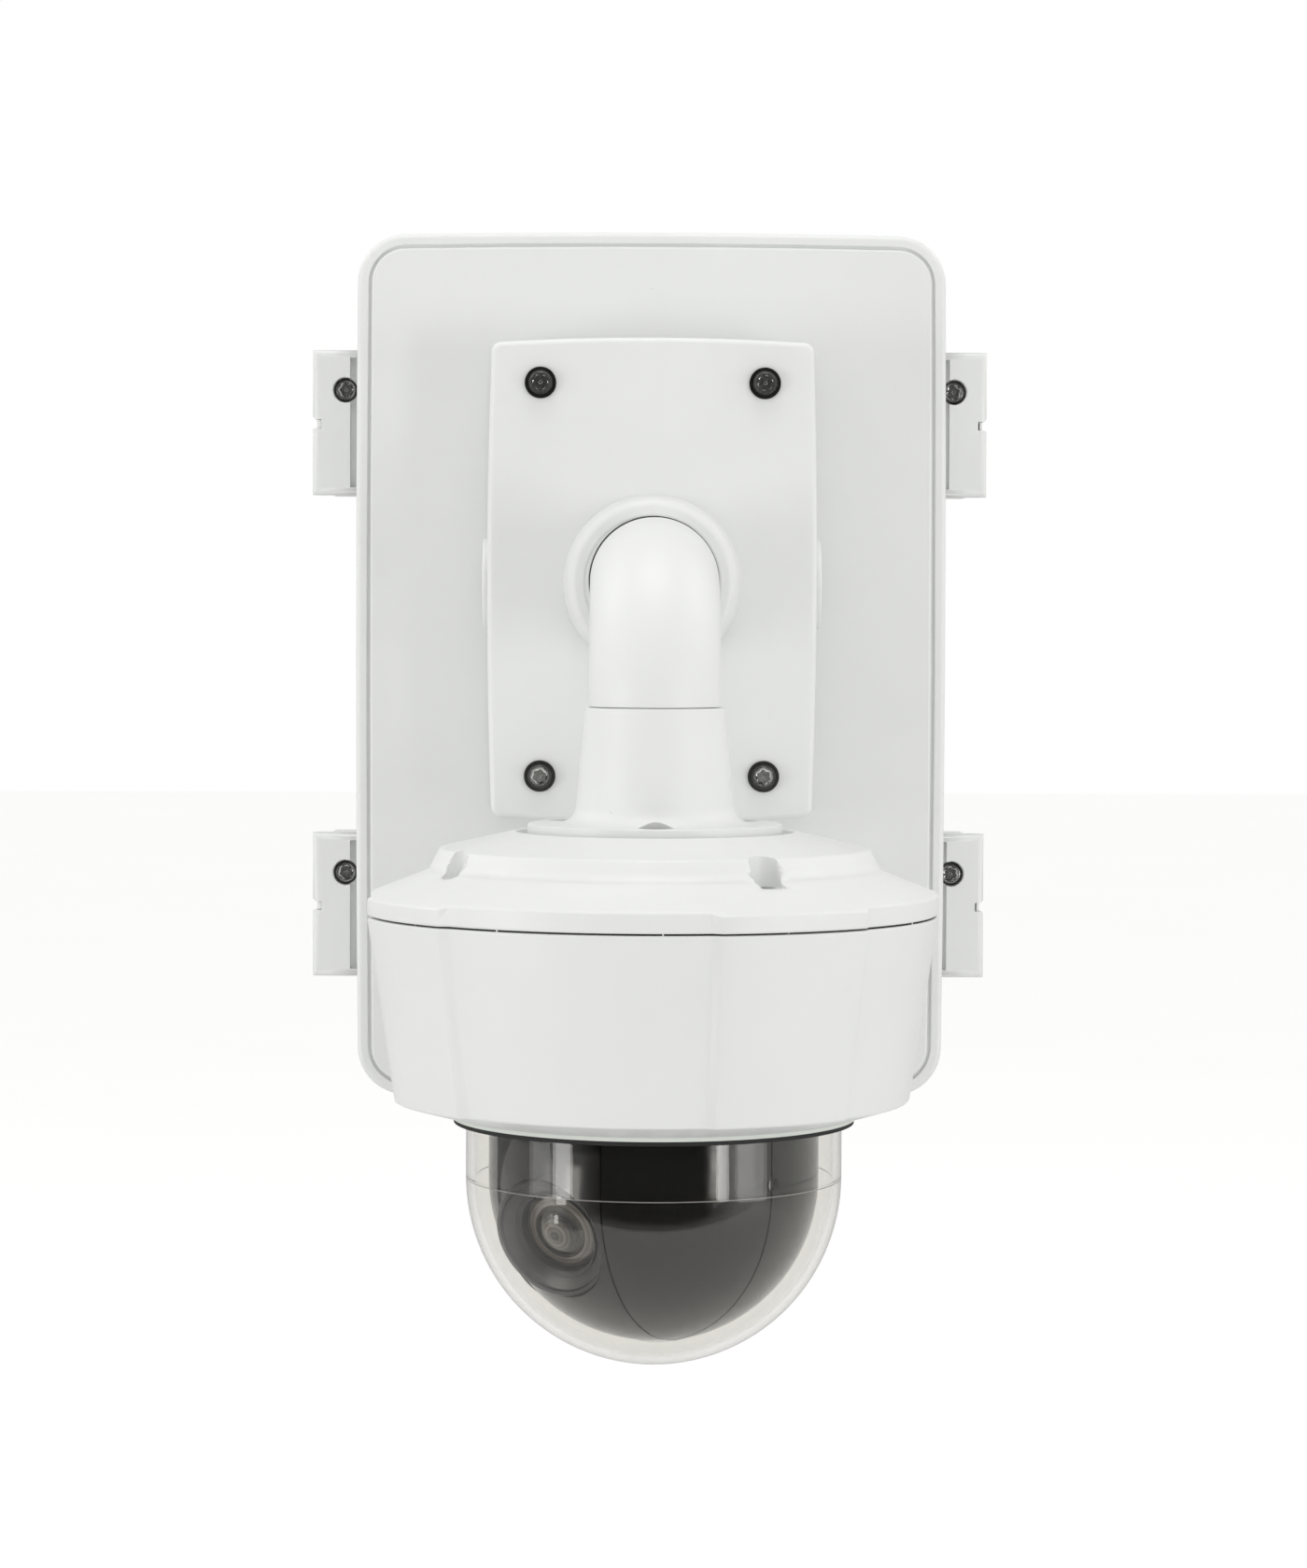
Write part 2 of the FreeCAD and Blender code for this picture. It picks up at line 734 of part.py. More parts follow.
def hook_level(level):
    return "(%d * sizes.lug_centre - sizes.notch_shift - %s / 2)" % (level, HOOK_THICK)


def hook_corners(side):
    centre = "%d * %s" % (side, PIN_ACROSS)
    inner = "%s - %d * sizes.hook_arm" % (centre, side)
    outer = "%s + %d * sizes.hook_arm" % (centre, side)
    arm_front = "-%s + sizes.hook_arm_start" % BOX_FRONT
    arm_back = "-%s + sizes.lug_block_depth - sizes.block_floor" % BOX_FRONT
    root = "%d * (%s - sizes.hook_root)" % (side, BLOCK_REACH)
    return [(root, arm_back), (outer, arm_back), (outer, "-" + PIN_DEPTH), (inner, "-" + PIN_DEPTH),
            (inner, arm_front), (root, arm_front)]


def door_outline(sketch, inset="0", grow="sizes.door_draft"):
    draw_bowed_outline(sketch, "(%s + %s)" % (HALF_WIDTH, grow), "(%s + %s)" % (HALF_HEIGHT, grow),
                       "sizes.side_bow", "sizes.top_bow", "(sizes.corner_radius + %s)" % grow, inset)


def make_body_gasket():
    body = new_body("body_gasket")
    sketch = sketch_on(body, "XZ_Plane", "%s - sizes.seal_seat" % BOX_FRONT)
    door_outline(sketch, "sizes.seal_inset")
    door_outline(sketch, "sizes.seal_inset + sizes.seal_width")
    pad(body, sketch, "sizes.seal_seat + sizes.seam_gap")


# Equipment inside the cabinet
def make_mounting_plate():
    body = new_body("mounting_plate")
    sketch = sketch_on(body, "XZ_Plane", PLATE_BACK)
    draw_rectangle(sketch, "-sizes.plate_width / 2", "sizes.plate_width / 2",
                   "-sizes.plate_height / 2", "sizes.plate_height / 2")
    for side, level in QUARTERS:
        draw_circle(sketch, "%d * %s / 2" % (side, PLATE_HOLE_ACROSS),
                    "%d * %s / 2" % (level, PLATE_HOLE_UP), "sizes.plate_screw_radius + sizes.screw_fit")
    pad(body, sketch, "sizes.plate_thick")
    screws = []
    for i, (side, level) in enumerate(QUARTERS):
        screws.append(screw(
            "plate_screw_%d" % i, "%d * %s / 2" % (side, PLATE_HOLE_ACROSS), "-" + PLATE_FRONT,
            "%d * %s / 2" % (level, PLATE_HOLE_UP), "sizes.plate_screw_radius",
            "sizes.plate_thick + sizes.standoff_height - sizes.screw_tip_gap", "sizes.plate_head_radius",
            "sizes.plate_head_thick"))
    group("plate_screws", screws)


def make_din_rail():
    body = new_body("din_rail")
    sketch = sketch_on(body, "YZ_Plane", "-sizes.rail_length / 2")
    edge = "sizes.rail_width / 2"
    crown = "sizes.rail_crown / 2"
    metal = "sizes.rail_metal"
    back = "-" + PLATE_FRONT
    front = "-" + RAIL_FRONT
    # The hat's section: two flanges in front, the web on the plate
    shape = [
        (front, edge), (front, crown), ("%s - %s" % (back, metal), crown),
        ("%s - %s" % (back, metal), "-" + crown), (front, "-" + crown), (front, "-" + edge),
        ("%s + %s" % (front, metal), "-" + edge),
        ("%s + %s" % (front, metal), "-%s - %s" % (crown, metal)),
        (back, "-%s - %s" % (crown, metal)), (back, "%s + %s" % (crown, metal)),
        ("%s + %s" % (front, metal), "%s + %s" % (crown, metal)), ("%s + %s" % (front, metal), edge)]
    draw_polygon(sketch, [(across, "%s + sizes.rail_height" % up) for across, up in shape])
    pad(body, sketch, "sizes.rail_length")


RAIL_LEFT = "(-sizes.rail_length / 2)"
SUPPLY_LEFT = "(%s + sizes.equipment_gap)" % RAIL_LEFT
BREAKER_LEFT = "(%s + sizes.supply_width + sizes.equipment_gap)" % SUPPLY_LEFT
CONVERTER_LEFT = "(%s + sizes.breaker_width + sizes.equipment_gap)" % BREAKER_LEFT
TERMINAL_LEFT = "(%s + sizes.converter_width + sizes.equipment_gap)" % CONVERTER_LEFT
LEVER_OUT = "(%s + sizes.breaker_depth + sizes.breaker_nose)" % RAIL_FRONT


def make_power_supply():
    body = new_body("power_supply")
    sketch = sketch_on(body, "XZ_Plane", RAIL_FRONT)
    draw_rectangle(sketch, SUPPLY_LEFT, "%s + sizes.supply_width" % SUPPLY_LEFT,
                   "sizes.rail_height - sizes.supply_height / 2", "sizes.rail_height + sizes.supply_height / 2")
    pad(body, sketch, "sizes.supply_depth")
    # Cooling slots in the front
    sketch = sketch_on(body, "XZ_Plane", "%s + sizes.supply_depth" % RAIL_FRONT)
    for step in range(5):
        low = "sizes.rail_height + sizes.supply_height * %.2f" % (-0.3 + 0.12 * step)
        draw_rectangle(sketch, "%s + sizes.supply_width * sizes.supply_cover_inset" % SUPPLY_LEFT,
                       "%s + sizes.supply_width * (1 - sizes.supply_cover_inset)" % SUPPLY_LEFT, low,
                       "%s + sizes.plate_thick" % low)
    pocket(body, sketch, "sizes.plate_thick")


def make_circuit_breaker():
    body = new_body("circuit_breaker")
    sketch = sketch_on(body, "YZ_Plane", BREAKER_LEFT)
    back = "-" + RAIL_FRONT
    front = "-%s - sizes.breaker_depth" % RAIL_FRONT
    nose = "-" + LEVER_OUT
    half = "sizes.breaker_height / 2"
    nose_half = "sizes.breaker_nose_height / 2"
    shape = [(back, "-" + half), (back, half), (front, half), (front, nose_half), (nose, nose_half),
             (nose, "-" + nose_half), (front, "-" + nose_half), (front, "-" + half)]
    draw_polygon(sketch, [(across, "%s + sizes.rail_height" % up) for across, up in shape])
    pad(body, sketch, "sizes.breaker_width")
    # Slot of the toggle
    sketch = sketch_on(body, "XZ_Plane", LEVER_OUT)
    middle = "(%s + sizes.breaker_width / 2)" % BREAKER_LEFT
    draw_rectangle(sketch, "%s - sizes.lever_pivot_radius - sizes.lever_slot_play" % middle,
                   "%s + sizes.lever_pivot_radius + sizes.lever_slot_play" % middle,
                   "sizes.rail_height - sizes.lever_length * sizes.lever_slot_reach",
                   "sizes.rail_height + sizes.lever_length * sizes.lever_slot_reach")
    pocket(body, sketch, "sizes.lever_pivot_radius + 1.5")
    # Toggle: a round hub with a tapered grip
    body = new_body("breaker_lever")
    sketch = sketch_on(body, "YZ_Plane", "%s - sizes.lever_pivot_radius" % middle)
    draw_circle(sketch, "-%s" % LEVER_OUT, "sizes.rail_height", "sizes.lever_pivot_radius")
    pad(body, sketch, "2 * sizes.lever_pivot_radius")
    sketch = sketch_on(body, "YZ_Plane", "%s - sizes.lever_pivot_radius + 0.5" % middle)
    axis = "-%s" % LEVER_OUT
    draw_polygon(sketch, [
        ("%s - 1" % axis, "sizes.rail_height + 3.4"),
        ("%s - sizes.lever_length" % axis, "sizes.rail_height + 4.6"),
        ("%s - sizes.lever_length" % axis, "sizes.rail_height + 2.2"),
        ("%s - 2" % axis, "sizes.rail_height - 2.5"), ("%s" % axis, "sizes.rail_height")])
    pad(body, sketch, "2 * sizes.lever_pivot_radius - 1")


def make_media_converter():
    body = new_body("media_converter")
    sketch = sketch_on(body, "XZ_Plane", RAIL_FRONT)
    draw_rectangle(sketch, CONVERTER_LEFT, "%s + sizes.converter_width" % CONVERTER_LEFT,
                   "sizes.rail_height - sizes.converter_height / 2",
                   "sizes.rail_height + sizes.converter_height / 2")
    pad(body, sketch, "sizes.converter_depth")
    # Two network sockets
    sketch = sketch_on(body, "XZ_Plane", "%s + sizes.converter_depth" % RAIL_FRONT)
    middle = "(%s + sizes.converter_width / 2)" % CONVERTER_LEFT
    for step in (-1, 0):
        low = "sizes.rail_height + %d * 20" % step
        draw_rectangle(sketch, "%s - 6" % middle, "%s + 6" % middle, low, "%s + 10" % low)
    pocket(body, sketch, "10")


def make_terminal_block():
    body = new_body("terminal_block")
    sketch = sketch_on(body, "XZ_Plane", RAIL_FRONT)
    width = "sizes.terminal_pitch * sizes.terminal_count"
    draw_rectangle(sketch, TERMINAL_LEFT, "%s + %s" % (TERMINAL_LEFT, width),
                   "sizes.rail_height - sizes.terminal_height / 2",
                   "sizes.rail_height + sizes.terminal_height / 2")
    pad(body, sketch, "sizes.terminal_depth")
    sketch = sketch_on(body, "XZ_Plane", "%s + sizes.terminal_depth" % RAIL_FRONT)
    for step in range(int(value("sizes.terminal_count"))):
        centre = "%s + sizes.terminal_pitch * %.1f" % (TERMINAL_LEFT, step + 0.5)
        for level in SIDES:
            draw_circle(sketch, centre, "sizes.rail_height + %d * sizes.terminal_height * 0.3" % level,
                        "sizes.terminal_pitch * 0.3")
    pocket(body, sketch, "sizes.terminal_pitch")


def make_cable_glands():
    glands = []
    nuts = []
    floor = "-%s" % BOX_HALF_HEIGHT
    inside = "(%s + sizes.box_wall + sizes.seat_gap)" % floor
    for i, side in enumerate(SIDES):
        x = "%d * sizes.gland_spacing / 2" % side
        y = "-sizes.gland_from_wall"
        thread = cylinder("gland_thread_%d" % i, "sizes.gland_radius",
                          "sizes.box_wall + sizes.gland_hex_thick + 1", x, y, floor)
        hexagon = prism("gland_hexagon_%d" % i, "sizes.gland_hex_radius", "sizes.gland_hex_thick", x, y,
                        "%s - sizes.gland_hex_thick" % floor)
        cap = doc.addObject("Part::Cone", "gland_cap_%d" % i)
        cap.setExpression("Radius1", "sizes.gland_radius * 0.75")
        cap.setExpression("Radius2", "sizes.gland_radius * 1.15")
        cap.setExpression("Height", "sizes.gland_cap_length")
        place(cap, x, y, "%s - sizes.gland_hex_thick - sizes.gland_cap_length" % floor)
        whole = fuse("gland_blank_%d" % i, [thread, hexagon, cap])
        bore = cylinder("gland_bore_%d" % i, "sizes.gland_bore_radius", "60", x, y, "%s - 30" % floor)
        glands.append(cut("gland_%d" % i, whole, bore))
        nut = prism("gland_nut_blank_%d" % i, "sizes.gland_hex_radius", "sizes.gland_hex_thick - 1", x, y,
                    inside)
        hole = cylinder("gland_nut_hole_%d" % i, "sizes.gland_radius + sizes.gland_fit / 2", "60", x, y,
                        "%s - 30" % inside)
        nuts.append(cut("gland_nut_%d" % i, nut, hole))
    group("cable_glands", glands)
    group("gland_nuts", nuts)


# Door: a deep cast cover with a rim band, a groove, four lugs and bosses for the bracket
def make_door():
    body = new_body("door")
    front = sketch_on(body, "XZ_Plane", "sizes.cabinet_depth")
    door_outline(front, "0", "0")
    rim = sketch_on(body, "XZ_Plane", RIM)
    door_outline(rim)
    loft(body, [front, rim])
    # Rim band, a little lower than the face, and the groove inside it
    sketch = sketch_on(body, "XZ_Plane", "sizes.cabinet_depth")
    door_outline(sketch, "-sizes.rim_band", "0")
    door_outline(sketch, "sizes.rim_band", "0")
    pocket(body, sketch, "sizes.band_drop")
    sketch = sketch_on(body, "XZ_Plane", "sizes.cabinet_depth")
    door_outline(sketch, "sizes.rim_band", "0")
    door_outline(sketch, "sizes.rim_band + sizes.groove_width", "0")
    pocket(body, sketch, "sizes.band_drop + sizes.groove_depth")
    outer = value(HALF_WIDTH) - value("sizes.rim_band") / 2
    band = flat_edge("y", "-sizes.cabinet_depth + sizes.band_drop")
    face = flat_edge("y", "-sizes.cabinet_depth")
    tall = value(HALF_HEIGHT) - value("sizes.rim_band") / 2

    def outer_edge(edge):
        box = edge.BoundBox
        reach = max(box.XMax, -box.XMin) > outer or max(box.ZMax, -box.ZMin) > tall
        return band(edge) and reach

    round_edges(body, "sizes.edge_round", outer_edge)
    round_edges(body, "sizes.face_round", face)
    # Lugs: a low web next to the wall and a thick block with the round hinge edge
    make_lugs(body)
    # Hollow
    inner_front = sketch_on(body, "XZ_Plane", "sizes.cabinet_depth - sizes.door_wall")
    door_outline(inner_front, "sizes.door_wall", "0")
    inner_rim = sketch_on(body, "XZ_Plane", RIM)
    door_outline(inner_rim, "sizes.door_wall + 0.6")
    loft(body, [inner_front, inner_rim], cut=True)
    # Bosses behind the bracket's screws, and their tapped holes
    sketch = sketch_on(body, "XZ_Plane", "sizes.cabinet_depth - sizes.door_wall / 2")
    for x, z in bracket_screw_places():
        draw_circle(sketch, x, z, "sizes.door_boss_radius")
    pad(body, sketch, "sizes.door_wall / 2 + sizes.door_boss_length", backwards=True)
    sketch = sketch_on(body, "XZ_Plane", "sizes.cabinet_depth")
    for x, z in bracket_screw_places():
        draw_circle(sketch, x, z, "sizes.screw_radius + sizes.screw_fit / 2")
    pocket(body, sketch, "sizes.door_wall + sizes.door_boss_length - sizes.door_boss_floor")
    # Cable passage behind the bracket's collar
    sketch = sketch_on(body, "XZ_Plane", "sizes.cabinet_depth")
    draw_circle(sketch, "0", "sizes.base_centre", "%s" % ARM_BORE)
    pocket(body, sketch, "2 * sizes.door_wall")


def make_lugs(body):
    inside = "(%s - sizes.door_wall)" % HALF_WIDTH
    sketch = sketch_on(body, "XZ_Plane", RIM)
    for side, level in QUARTERS:
        left, right = sorted(("%d * (%s)" % (side, inside), "%d * %s" % (side, LUG_VALLEY)), key=value)
        draw_rectangle(sketch, left, right, lug_edge(level, -1), lug_edge(level, 1))
    pad(body, sketch, "sizes.lug_thick - sizes.valley_drop")
    sketch = sketch_on(body, "XZ_Plane", RIM)
    for side, level in QUARTERS:
        near, valley = "%d * (%s)" % (side, inside), "%d * %s" % (side, LUG_VALLEY)
        far = "%d * %s" % (side, LUG_REACH)
        low, high = lug_edge(level, -1), lug_edge(level, 1)
        low_end, high_end = "(%s + sizes.lug_end)" % low, "(%s - sizes.lug_end)" % high
        draw_polygon(sketch, [(near, low), (far, low), (far, high), (near, high), (near, high_end),
                              (valley, high_end), (valley, low_end), (near, low_end)])
    pad(body, sketch, "sizes.lug_thick")
    # Soft front edges, and a rounder one behind that turns past the lug block
    ends = [value(lug_edge(level, side)) for level in SIDES for side in SIDES]
    front = -value(LUG_FRONT)
    reach = value(LUG_REACH)

    def outer_upright(edge):
        box = edge.BoundBox
        upright = box.ZLength > 10 and box.XLength < 1e-3 and box.YLength < 1e-3
        return upright and abs(abs(box.XMin) - reach) < 1e-3

    def front_edge(edge):
        box = edge.BoundBox
        if box.YLength > 1e-3 or abs(box.YMin - front) > 1e-3:
            return False
        return outer_upright(edge) or (box.ZLength < 1e-3 and any(abs(box.ZMin - end) < 1e-3 for end in ends))

    round_edges(body, "sizes.lug_end_round", front_edge)
    round_edges(body, "sizes.lug_thick / 2 - sizes.slip_fit", outer_upright)
    # Boss round each captive screw, with its counterbore and hole
    sketch = sketch_on(body, "XZ_Plane", RIM)
    for x, z in door_screw_places():
        draw_circle(sketch, x, z, "sizes.counterbore_radius + sizes.screw_boss_wall")
    pad(body, sketch, "sizes.lug_thick - sizes.door_head_sink")
    sketch = sketch_on(body, "XZ_Plane", "%s + sizes.cut_past" % LUG_FRONT)
    for x, z in door_screw_places():
        draw_circle(sketch, x, z, "sizes.counterbore_radius")
    pocket(body, sketch, "sizes.door_head_sink + sizes.cut_past")
    sketch = sketch_on(body, "XZ_Plane", LUG_FRONT)
    for x, z in door_screw_places():
        draw_circle(sketch, x, z, "sizes.door_screw_radius + sizes.screw_fit / 2")
    pocket(body, sketch, "sizes.lug_thick")
    # Pockets from behind in which the hooks hold the pins
    for level in SIDES:
        sketch = sketch_on(body, "XY_Plane", notch_edge(level, 1))
        for side in SIDES:
            left, right = sorted(("%d * (%s - sizes.notch_inboard)" % (side, PIN_ACROSS),
                                  "%d * (%s + sizes.cut_past)" % (side, LUG_REACH)), key=value)
            draw_rectangle(sketch, left, right, "-%s + sizes.lug_skin" % LUG_FRONT,
                           "-%s + sizes.cut_past" % RIM)
        pocket(body, sketch, "sizes.notch_height")
    # Notches in the outer edge, where the pins show
    sketch = sketch_on(body, "XZ_Plane", "%s + sizes.cut_past" % LUG_FRONT)
    for side, level in QUARTERS:
        beyond = "%d * (%s + sizes.cut_past)" % (side, LUG_REACH)
        depth = "%d * (%s - sizes.notch_cut)" % (side, LUG_REACH)
        lip = "%d * (%s - sizes.notch_lip)" % (side, LUG_REACH)
        low, high = notch_edge(level, -1), notch_edge(level, 1)
        draw_polygon(sketch, [(depth, low), (beyond, low),
                              (beyond, "%s + sizes.notch_lip + sizes.cut_past" % high),
                              (lip, high), (depth, high)])
    pocket(body, sketch, "sizes.lug_thick + 2 * sizes.cut_past")
    # Bores of the hinge pins
    sketch = sketch_on(body, "XY_Plane", "sizes.lug_centre + sizes.lug_height / 2")
    for side in SIDES:
        draw_circle(sketch, "%d * %s" % (side, PIN_ACROSS), "-" + PIN_DEPTH,
                    "sizes.pin_radius + sizes.pin_fit / 2")
    pocket(body, sketch, "2 * sizes.lug_centre + sizes.lug_height")


def notch_edge(level, side):
    return "(%d * sizes.lug_centre - sizes.notch_shift + %d * sizes.notch_height / 2)" % (level, side)


def lug_edge(level, side):
    return "(%d * sizes.lug_centre + %d * sizes.lug_height / 2)" % (level, side)


def door_screw_places():
    return [("%d * %s" % (side, DOOR_SCREW_ACROSS),
             "%d * sizes.lug_centre + sizes.door_screw_rise" % level) for side, level in QUARTERS]


def bracket_screw_places():
    return [("%d * sizes.screw_across / 2" % side,
             "%s + %d * sizes.screw_up / 2" % (BASE_MIDDLE, level)) for side, level in QUARTERS]


def make_door_hardware():
    pins = []
    screws = []
    for i, (side, level) in enumerate(QUARTERS):
        pins.append(cylinder(
            "hinge_pin_%d" % i, "sizes.pin_radius", "sizes.lug_height - 2 * sizes.pin_end_gap",
            "%d * %s" % (side, PIN_ACROSS),
            "-" + PIN_DEPTH, "%d * sizes.lug_centre - sizes.lug_height / 2 + sizes.pin_end_gap" % level))
    seat = "-%s + sizes.door_head_sink" % LUG_FRONT
    for i, (x, z) in enumerate(door_screw_places()):
        screws.append(screw("door_screw_%d" % i, x, seat, z, "sizes.door_screw_radius",
                            "sizes.lug_thick - sizes.door_head_sink - 0.2", "sizes.door_head_radius",
                            "sizes.door_head_thick"))
    group("hinge_pins", pins)
    group("door_screws", screws)


# Wall bracket on the door
def base_outline(sketch, inset="0"):
    draw_bowed_outline(sketch, "(sizes.base_width / 2)", "(sizes.base_height / 2)", "sizes.base_side_bow",
                       "sizes.base_top_bow", "sizes.base_corner", inset, BASE_MIDDLE)


def base_inner(sketch, inset):
    half = "(sizes.base_width / 2 - sizes.base_side_bow - %s)" % inset
    tall = "(sizes.base_height / 2 - sizes.base_top_bow - %s)" % inset
    draw_rectangle(sketch, "-" + half, half, "%s - %s" % (BASE_MIDDLE, tall), "%s + %s" % (BASE_MIDDLE, tall))


def make_bracket():
    body = new_body("bracket_gasket")
    sketch = sketch_on(body, "XZ_Plane", "sizes.cabinet_depth")
    base_outline(sketch, "sizes.base_seal_inset")
    base_inner(sketch, "sizes.base_wall - 1")
    pad(body, sketch, "sizes.base_seal")

    body = new_body("bracket_base")
    sketch = sketch_on(body, "XZ_Plane", BASE_BACK)
    base_outline(sketch)
    pad(body, sketch, "sizes.base_depth - sizes.base_seal")
    round_edges(body, "sizes.base_edge", flat_edge("y", "-" + BASE_FRONT))
    # Collar round the arm, turned about the arm's axis
    sketch = sketch_on(body, "YZ_Plane")
    front = "-%s" % BASE_FRONT
    draw_polygon(sketch, [
        ("%s + 1" % front, "sizes.base_centre + sizes.collar_lip_radius - 2"),
        ("%s + 1" % front, "sizes.base_centre + sizes.collar_radius"),
        ("%s" % front, "sizes.base_centre + sizes.collar_radius"),
        ("%s - sizes.collar_height * 0.45" % front, "sizes.base_centre + sizes.collar_radius - 1.2"),
        ("%s - sizes.collar_height * 0.85" % front,
         "sizes.base_centre + sizes.collar_top_radius * 0.35 + sizes.collar_radius * 0.65 - 0.9"),
        ("%s - sizes.collar_height" % front, "sizes.base_centre + sizes.collar_top_radius"),
        ("%s - sizes.collar_height" % front, "sizes.base_centre + sizes.collar_lip_radius + 0.8"),
        ("%s - sizes.collar_height * 0.85" % front, "sizes.base_centre + sizes.collar_lip_radius"),
        ("%s - sizes.collar_height * 0.5" % front, "sizes.base_centre + sizes.collar_lip_radius - 1"),
        ("%s" % front, "sizes.base_centre + sizes.collar_lip_radius - 2")])
    axis = sketch.addGeometry([Part.LineSegment(
        FreeCAD.Vector(value(front), value("sizes.base_centre"), 0),
        FreeCAD.Vector(value(front) + 20, value("sizes.base_centre"), 0))], True)[0]
    fix_point(sketch, axis, 1, front, "sizes.base_centre")
    fix_point(sketch, axis, 2, "%s + 20" % front, "sizes.base_centre")
    turn(body, sketch, axis="Axis0")
    # Hollow from behind, columns for the screws
    sketch = sketch_on(body, "XZ_Plane", BASE_BACK)
    base_inner(sketch, "sizes.base_wall")
    pocket(body, sketch, "sizes.base_depth - sizes.base_seal - sizes.base_plate", backwards=True)
    sketch = sketch_on(body, "XZ_Plane", BASE_BACK)
    for x, z in bracket_screw_places():
        draw_circle(sketch, x, z, "sizes.column_radius")
    pad(body, sketch, "sizes.base_depth - sizes.base_seal - sizes.base_plate / 2")
    sketch = sketch_on(body, "XZ_Plane", BASE_FRONT)
    for x, z in bracket_screw_places():
        draw_circle(sketch, x, z, "sizes.screw_radius + sizes.screw_fit")
    pocket(body, sketch, "sizes.base_depth")
    # Bore for the arm and tapped holes round it
    sketch = sketch_on(body, "XZ_Plane", "%s + sizes.collar_height + sizes.cut_past" % BASE_FRONT)
    draw_circle(sketch, "0", "sizes.base_centre", "sizes.arm_radius + sizes.collar_gap / 2")
    pocket(body, sketch, "sizes.collar_height + sizes.base_plate + 2 * sizes.cut_past")
    # Conduit openings in the sides
    sketch = sketch_on(body, "YZ_Plane", "sizes.base_width / 2 + sizes.cut_past")
    draw_circle(sketch, "-%s" % PLUG_OUT, "sizes.base_centre", "sizes.plug_radius + sizes.slip_fit")
    pocket(body, sketch, "sizes.base_width + 2 * sizes.cut_past")

    plugs = []
    for i, side in enumerate(SIDES):
        start = "%d * (sizes.base_width / 2 + sizes.plug_proud)" % side
        low = start if side < 0 else "%s - sizes.plug_length - sizes.plug_proud" % start
        plugs.append(cylinder("conduit_plug_%d" % i, "sizes.plug_radius",
                              "sizes.plug_length + sizes.plug_proud",
                              low, "-" + PLUG_OUT, "sizes.base_centre", (0, 1, 0), 90))
    group("conduit_plugs", plugs)

    screws = []
    washers = []
    for i, (x, z) in enumerate(bracket_screw_places()):
        face = "-%s" % BASE_FRONT
        disc = cylinder("bracket_washer_disc_%d" % i, "sizes.washer_radius", "sizes.washer_thick", x, face, z,
                        *FORWARD)
        hole = cylinder("bracket_washer_hole_%d" % i, "sizes.screw_radius + sizes.screw_fit",
                        "3 * sizes.washer_thick", x, "%s + sizes.washer_thick" % face, z, *FORWARD)
        washers.append(cut("bracket_washer_%d" % i, disc, hole))
        screws.append(screw(
            "bracket_screw_%d" % i, x, "%s - sizes.washer_thick" % face, z, "sizes.screw_radius",
            "sizes.washer_thick + sizes.base_depth + sizes.door_wall + sizes.bracket_screw_bite",
            "sizes.screw_head_radius",
            "sizes.screw_head_thick"))
    group("bracket_screws", screws)
    group("bracket_washers", washers)


PLUG_OUT = "(%s + (sizes.base_depth - sizes.base_seal) / 2)" % BASE_BACK


# Elbow arm: a tube swept along a straight, a quarter bend and a straight, with a flange inside the base
def arm_path(body, start, end):
    path = sketch_on(body, "YZ_Plane")
    corner = "sizes.arm_bend"
    bend_start = "-%s + %s" % (CAMERA_OUT, corner)
    bend_low = "sizes.base_centre - %s" % corner
    first = FreeCAD.Vector(value(start), value("sizes.base_centre"), 0)
    second = FreeCAD.Vector(value(bend_start), value("sizes.base_centre"), 0)
    third = FreeCAD.Vector(value("-" + CAMERA_OUT), value(bend_low), 0)
    last = FreeCAD.Vector(value("-" + CAMERA_OUT), value(end), 0)
    centre = FreeCAD.Vector(value(bend_start), value(bend_low), 0)
    circle = Part.Circle(centre, FreeCAD.Vector(0, 0, 1), value(corner))
    path.addGeometry([
        Part.LineSegment(first, second), Part.ArcOfCircle(circle, math.pi / 2, math.pi),
        Part.LineSegment(third, last)], False)
    path.addConstraint(Sketcher.Constraint("Coincident", 0, 2, 1, 1))
    path.addConstraint(Sketcher.Constraint("Coincident", 1, 2, 2, 1))
    fix_point(path, 0, 1, start, "sizes.base_centre")
    fix_point(path, 0, 2, bend_start, "sizes.base_centre")
    constrain(path, "DistanceX", (-1, 1, 2, 1), "-" + CAMERA_OUT)
    constrain(path, "DistanceY", (-1, 1, 2, 1), bend_low)
    constrain(path, "Radius", (1,), corner)
    constrain(path, "DistanceX", (-1, 1, 2, 2), "-" + CAMERA_OUT)
    constrain(path, "DistanceY", (-1, 1, 2, 2), end)
    return path


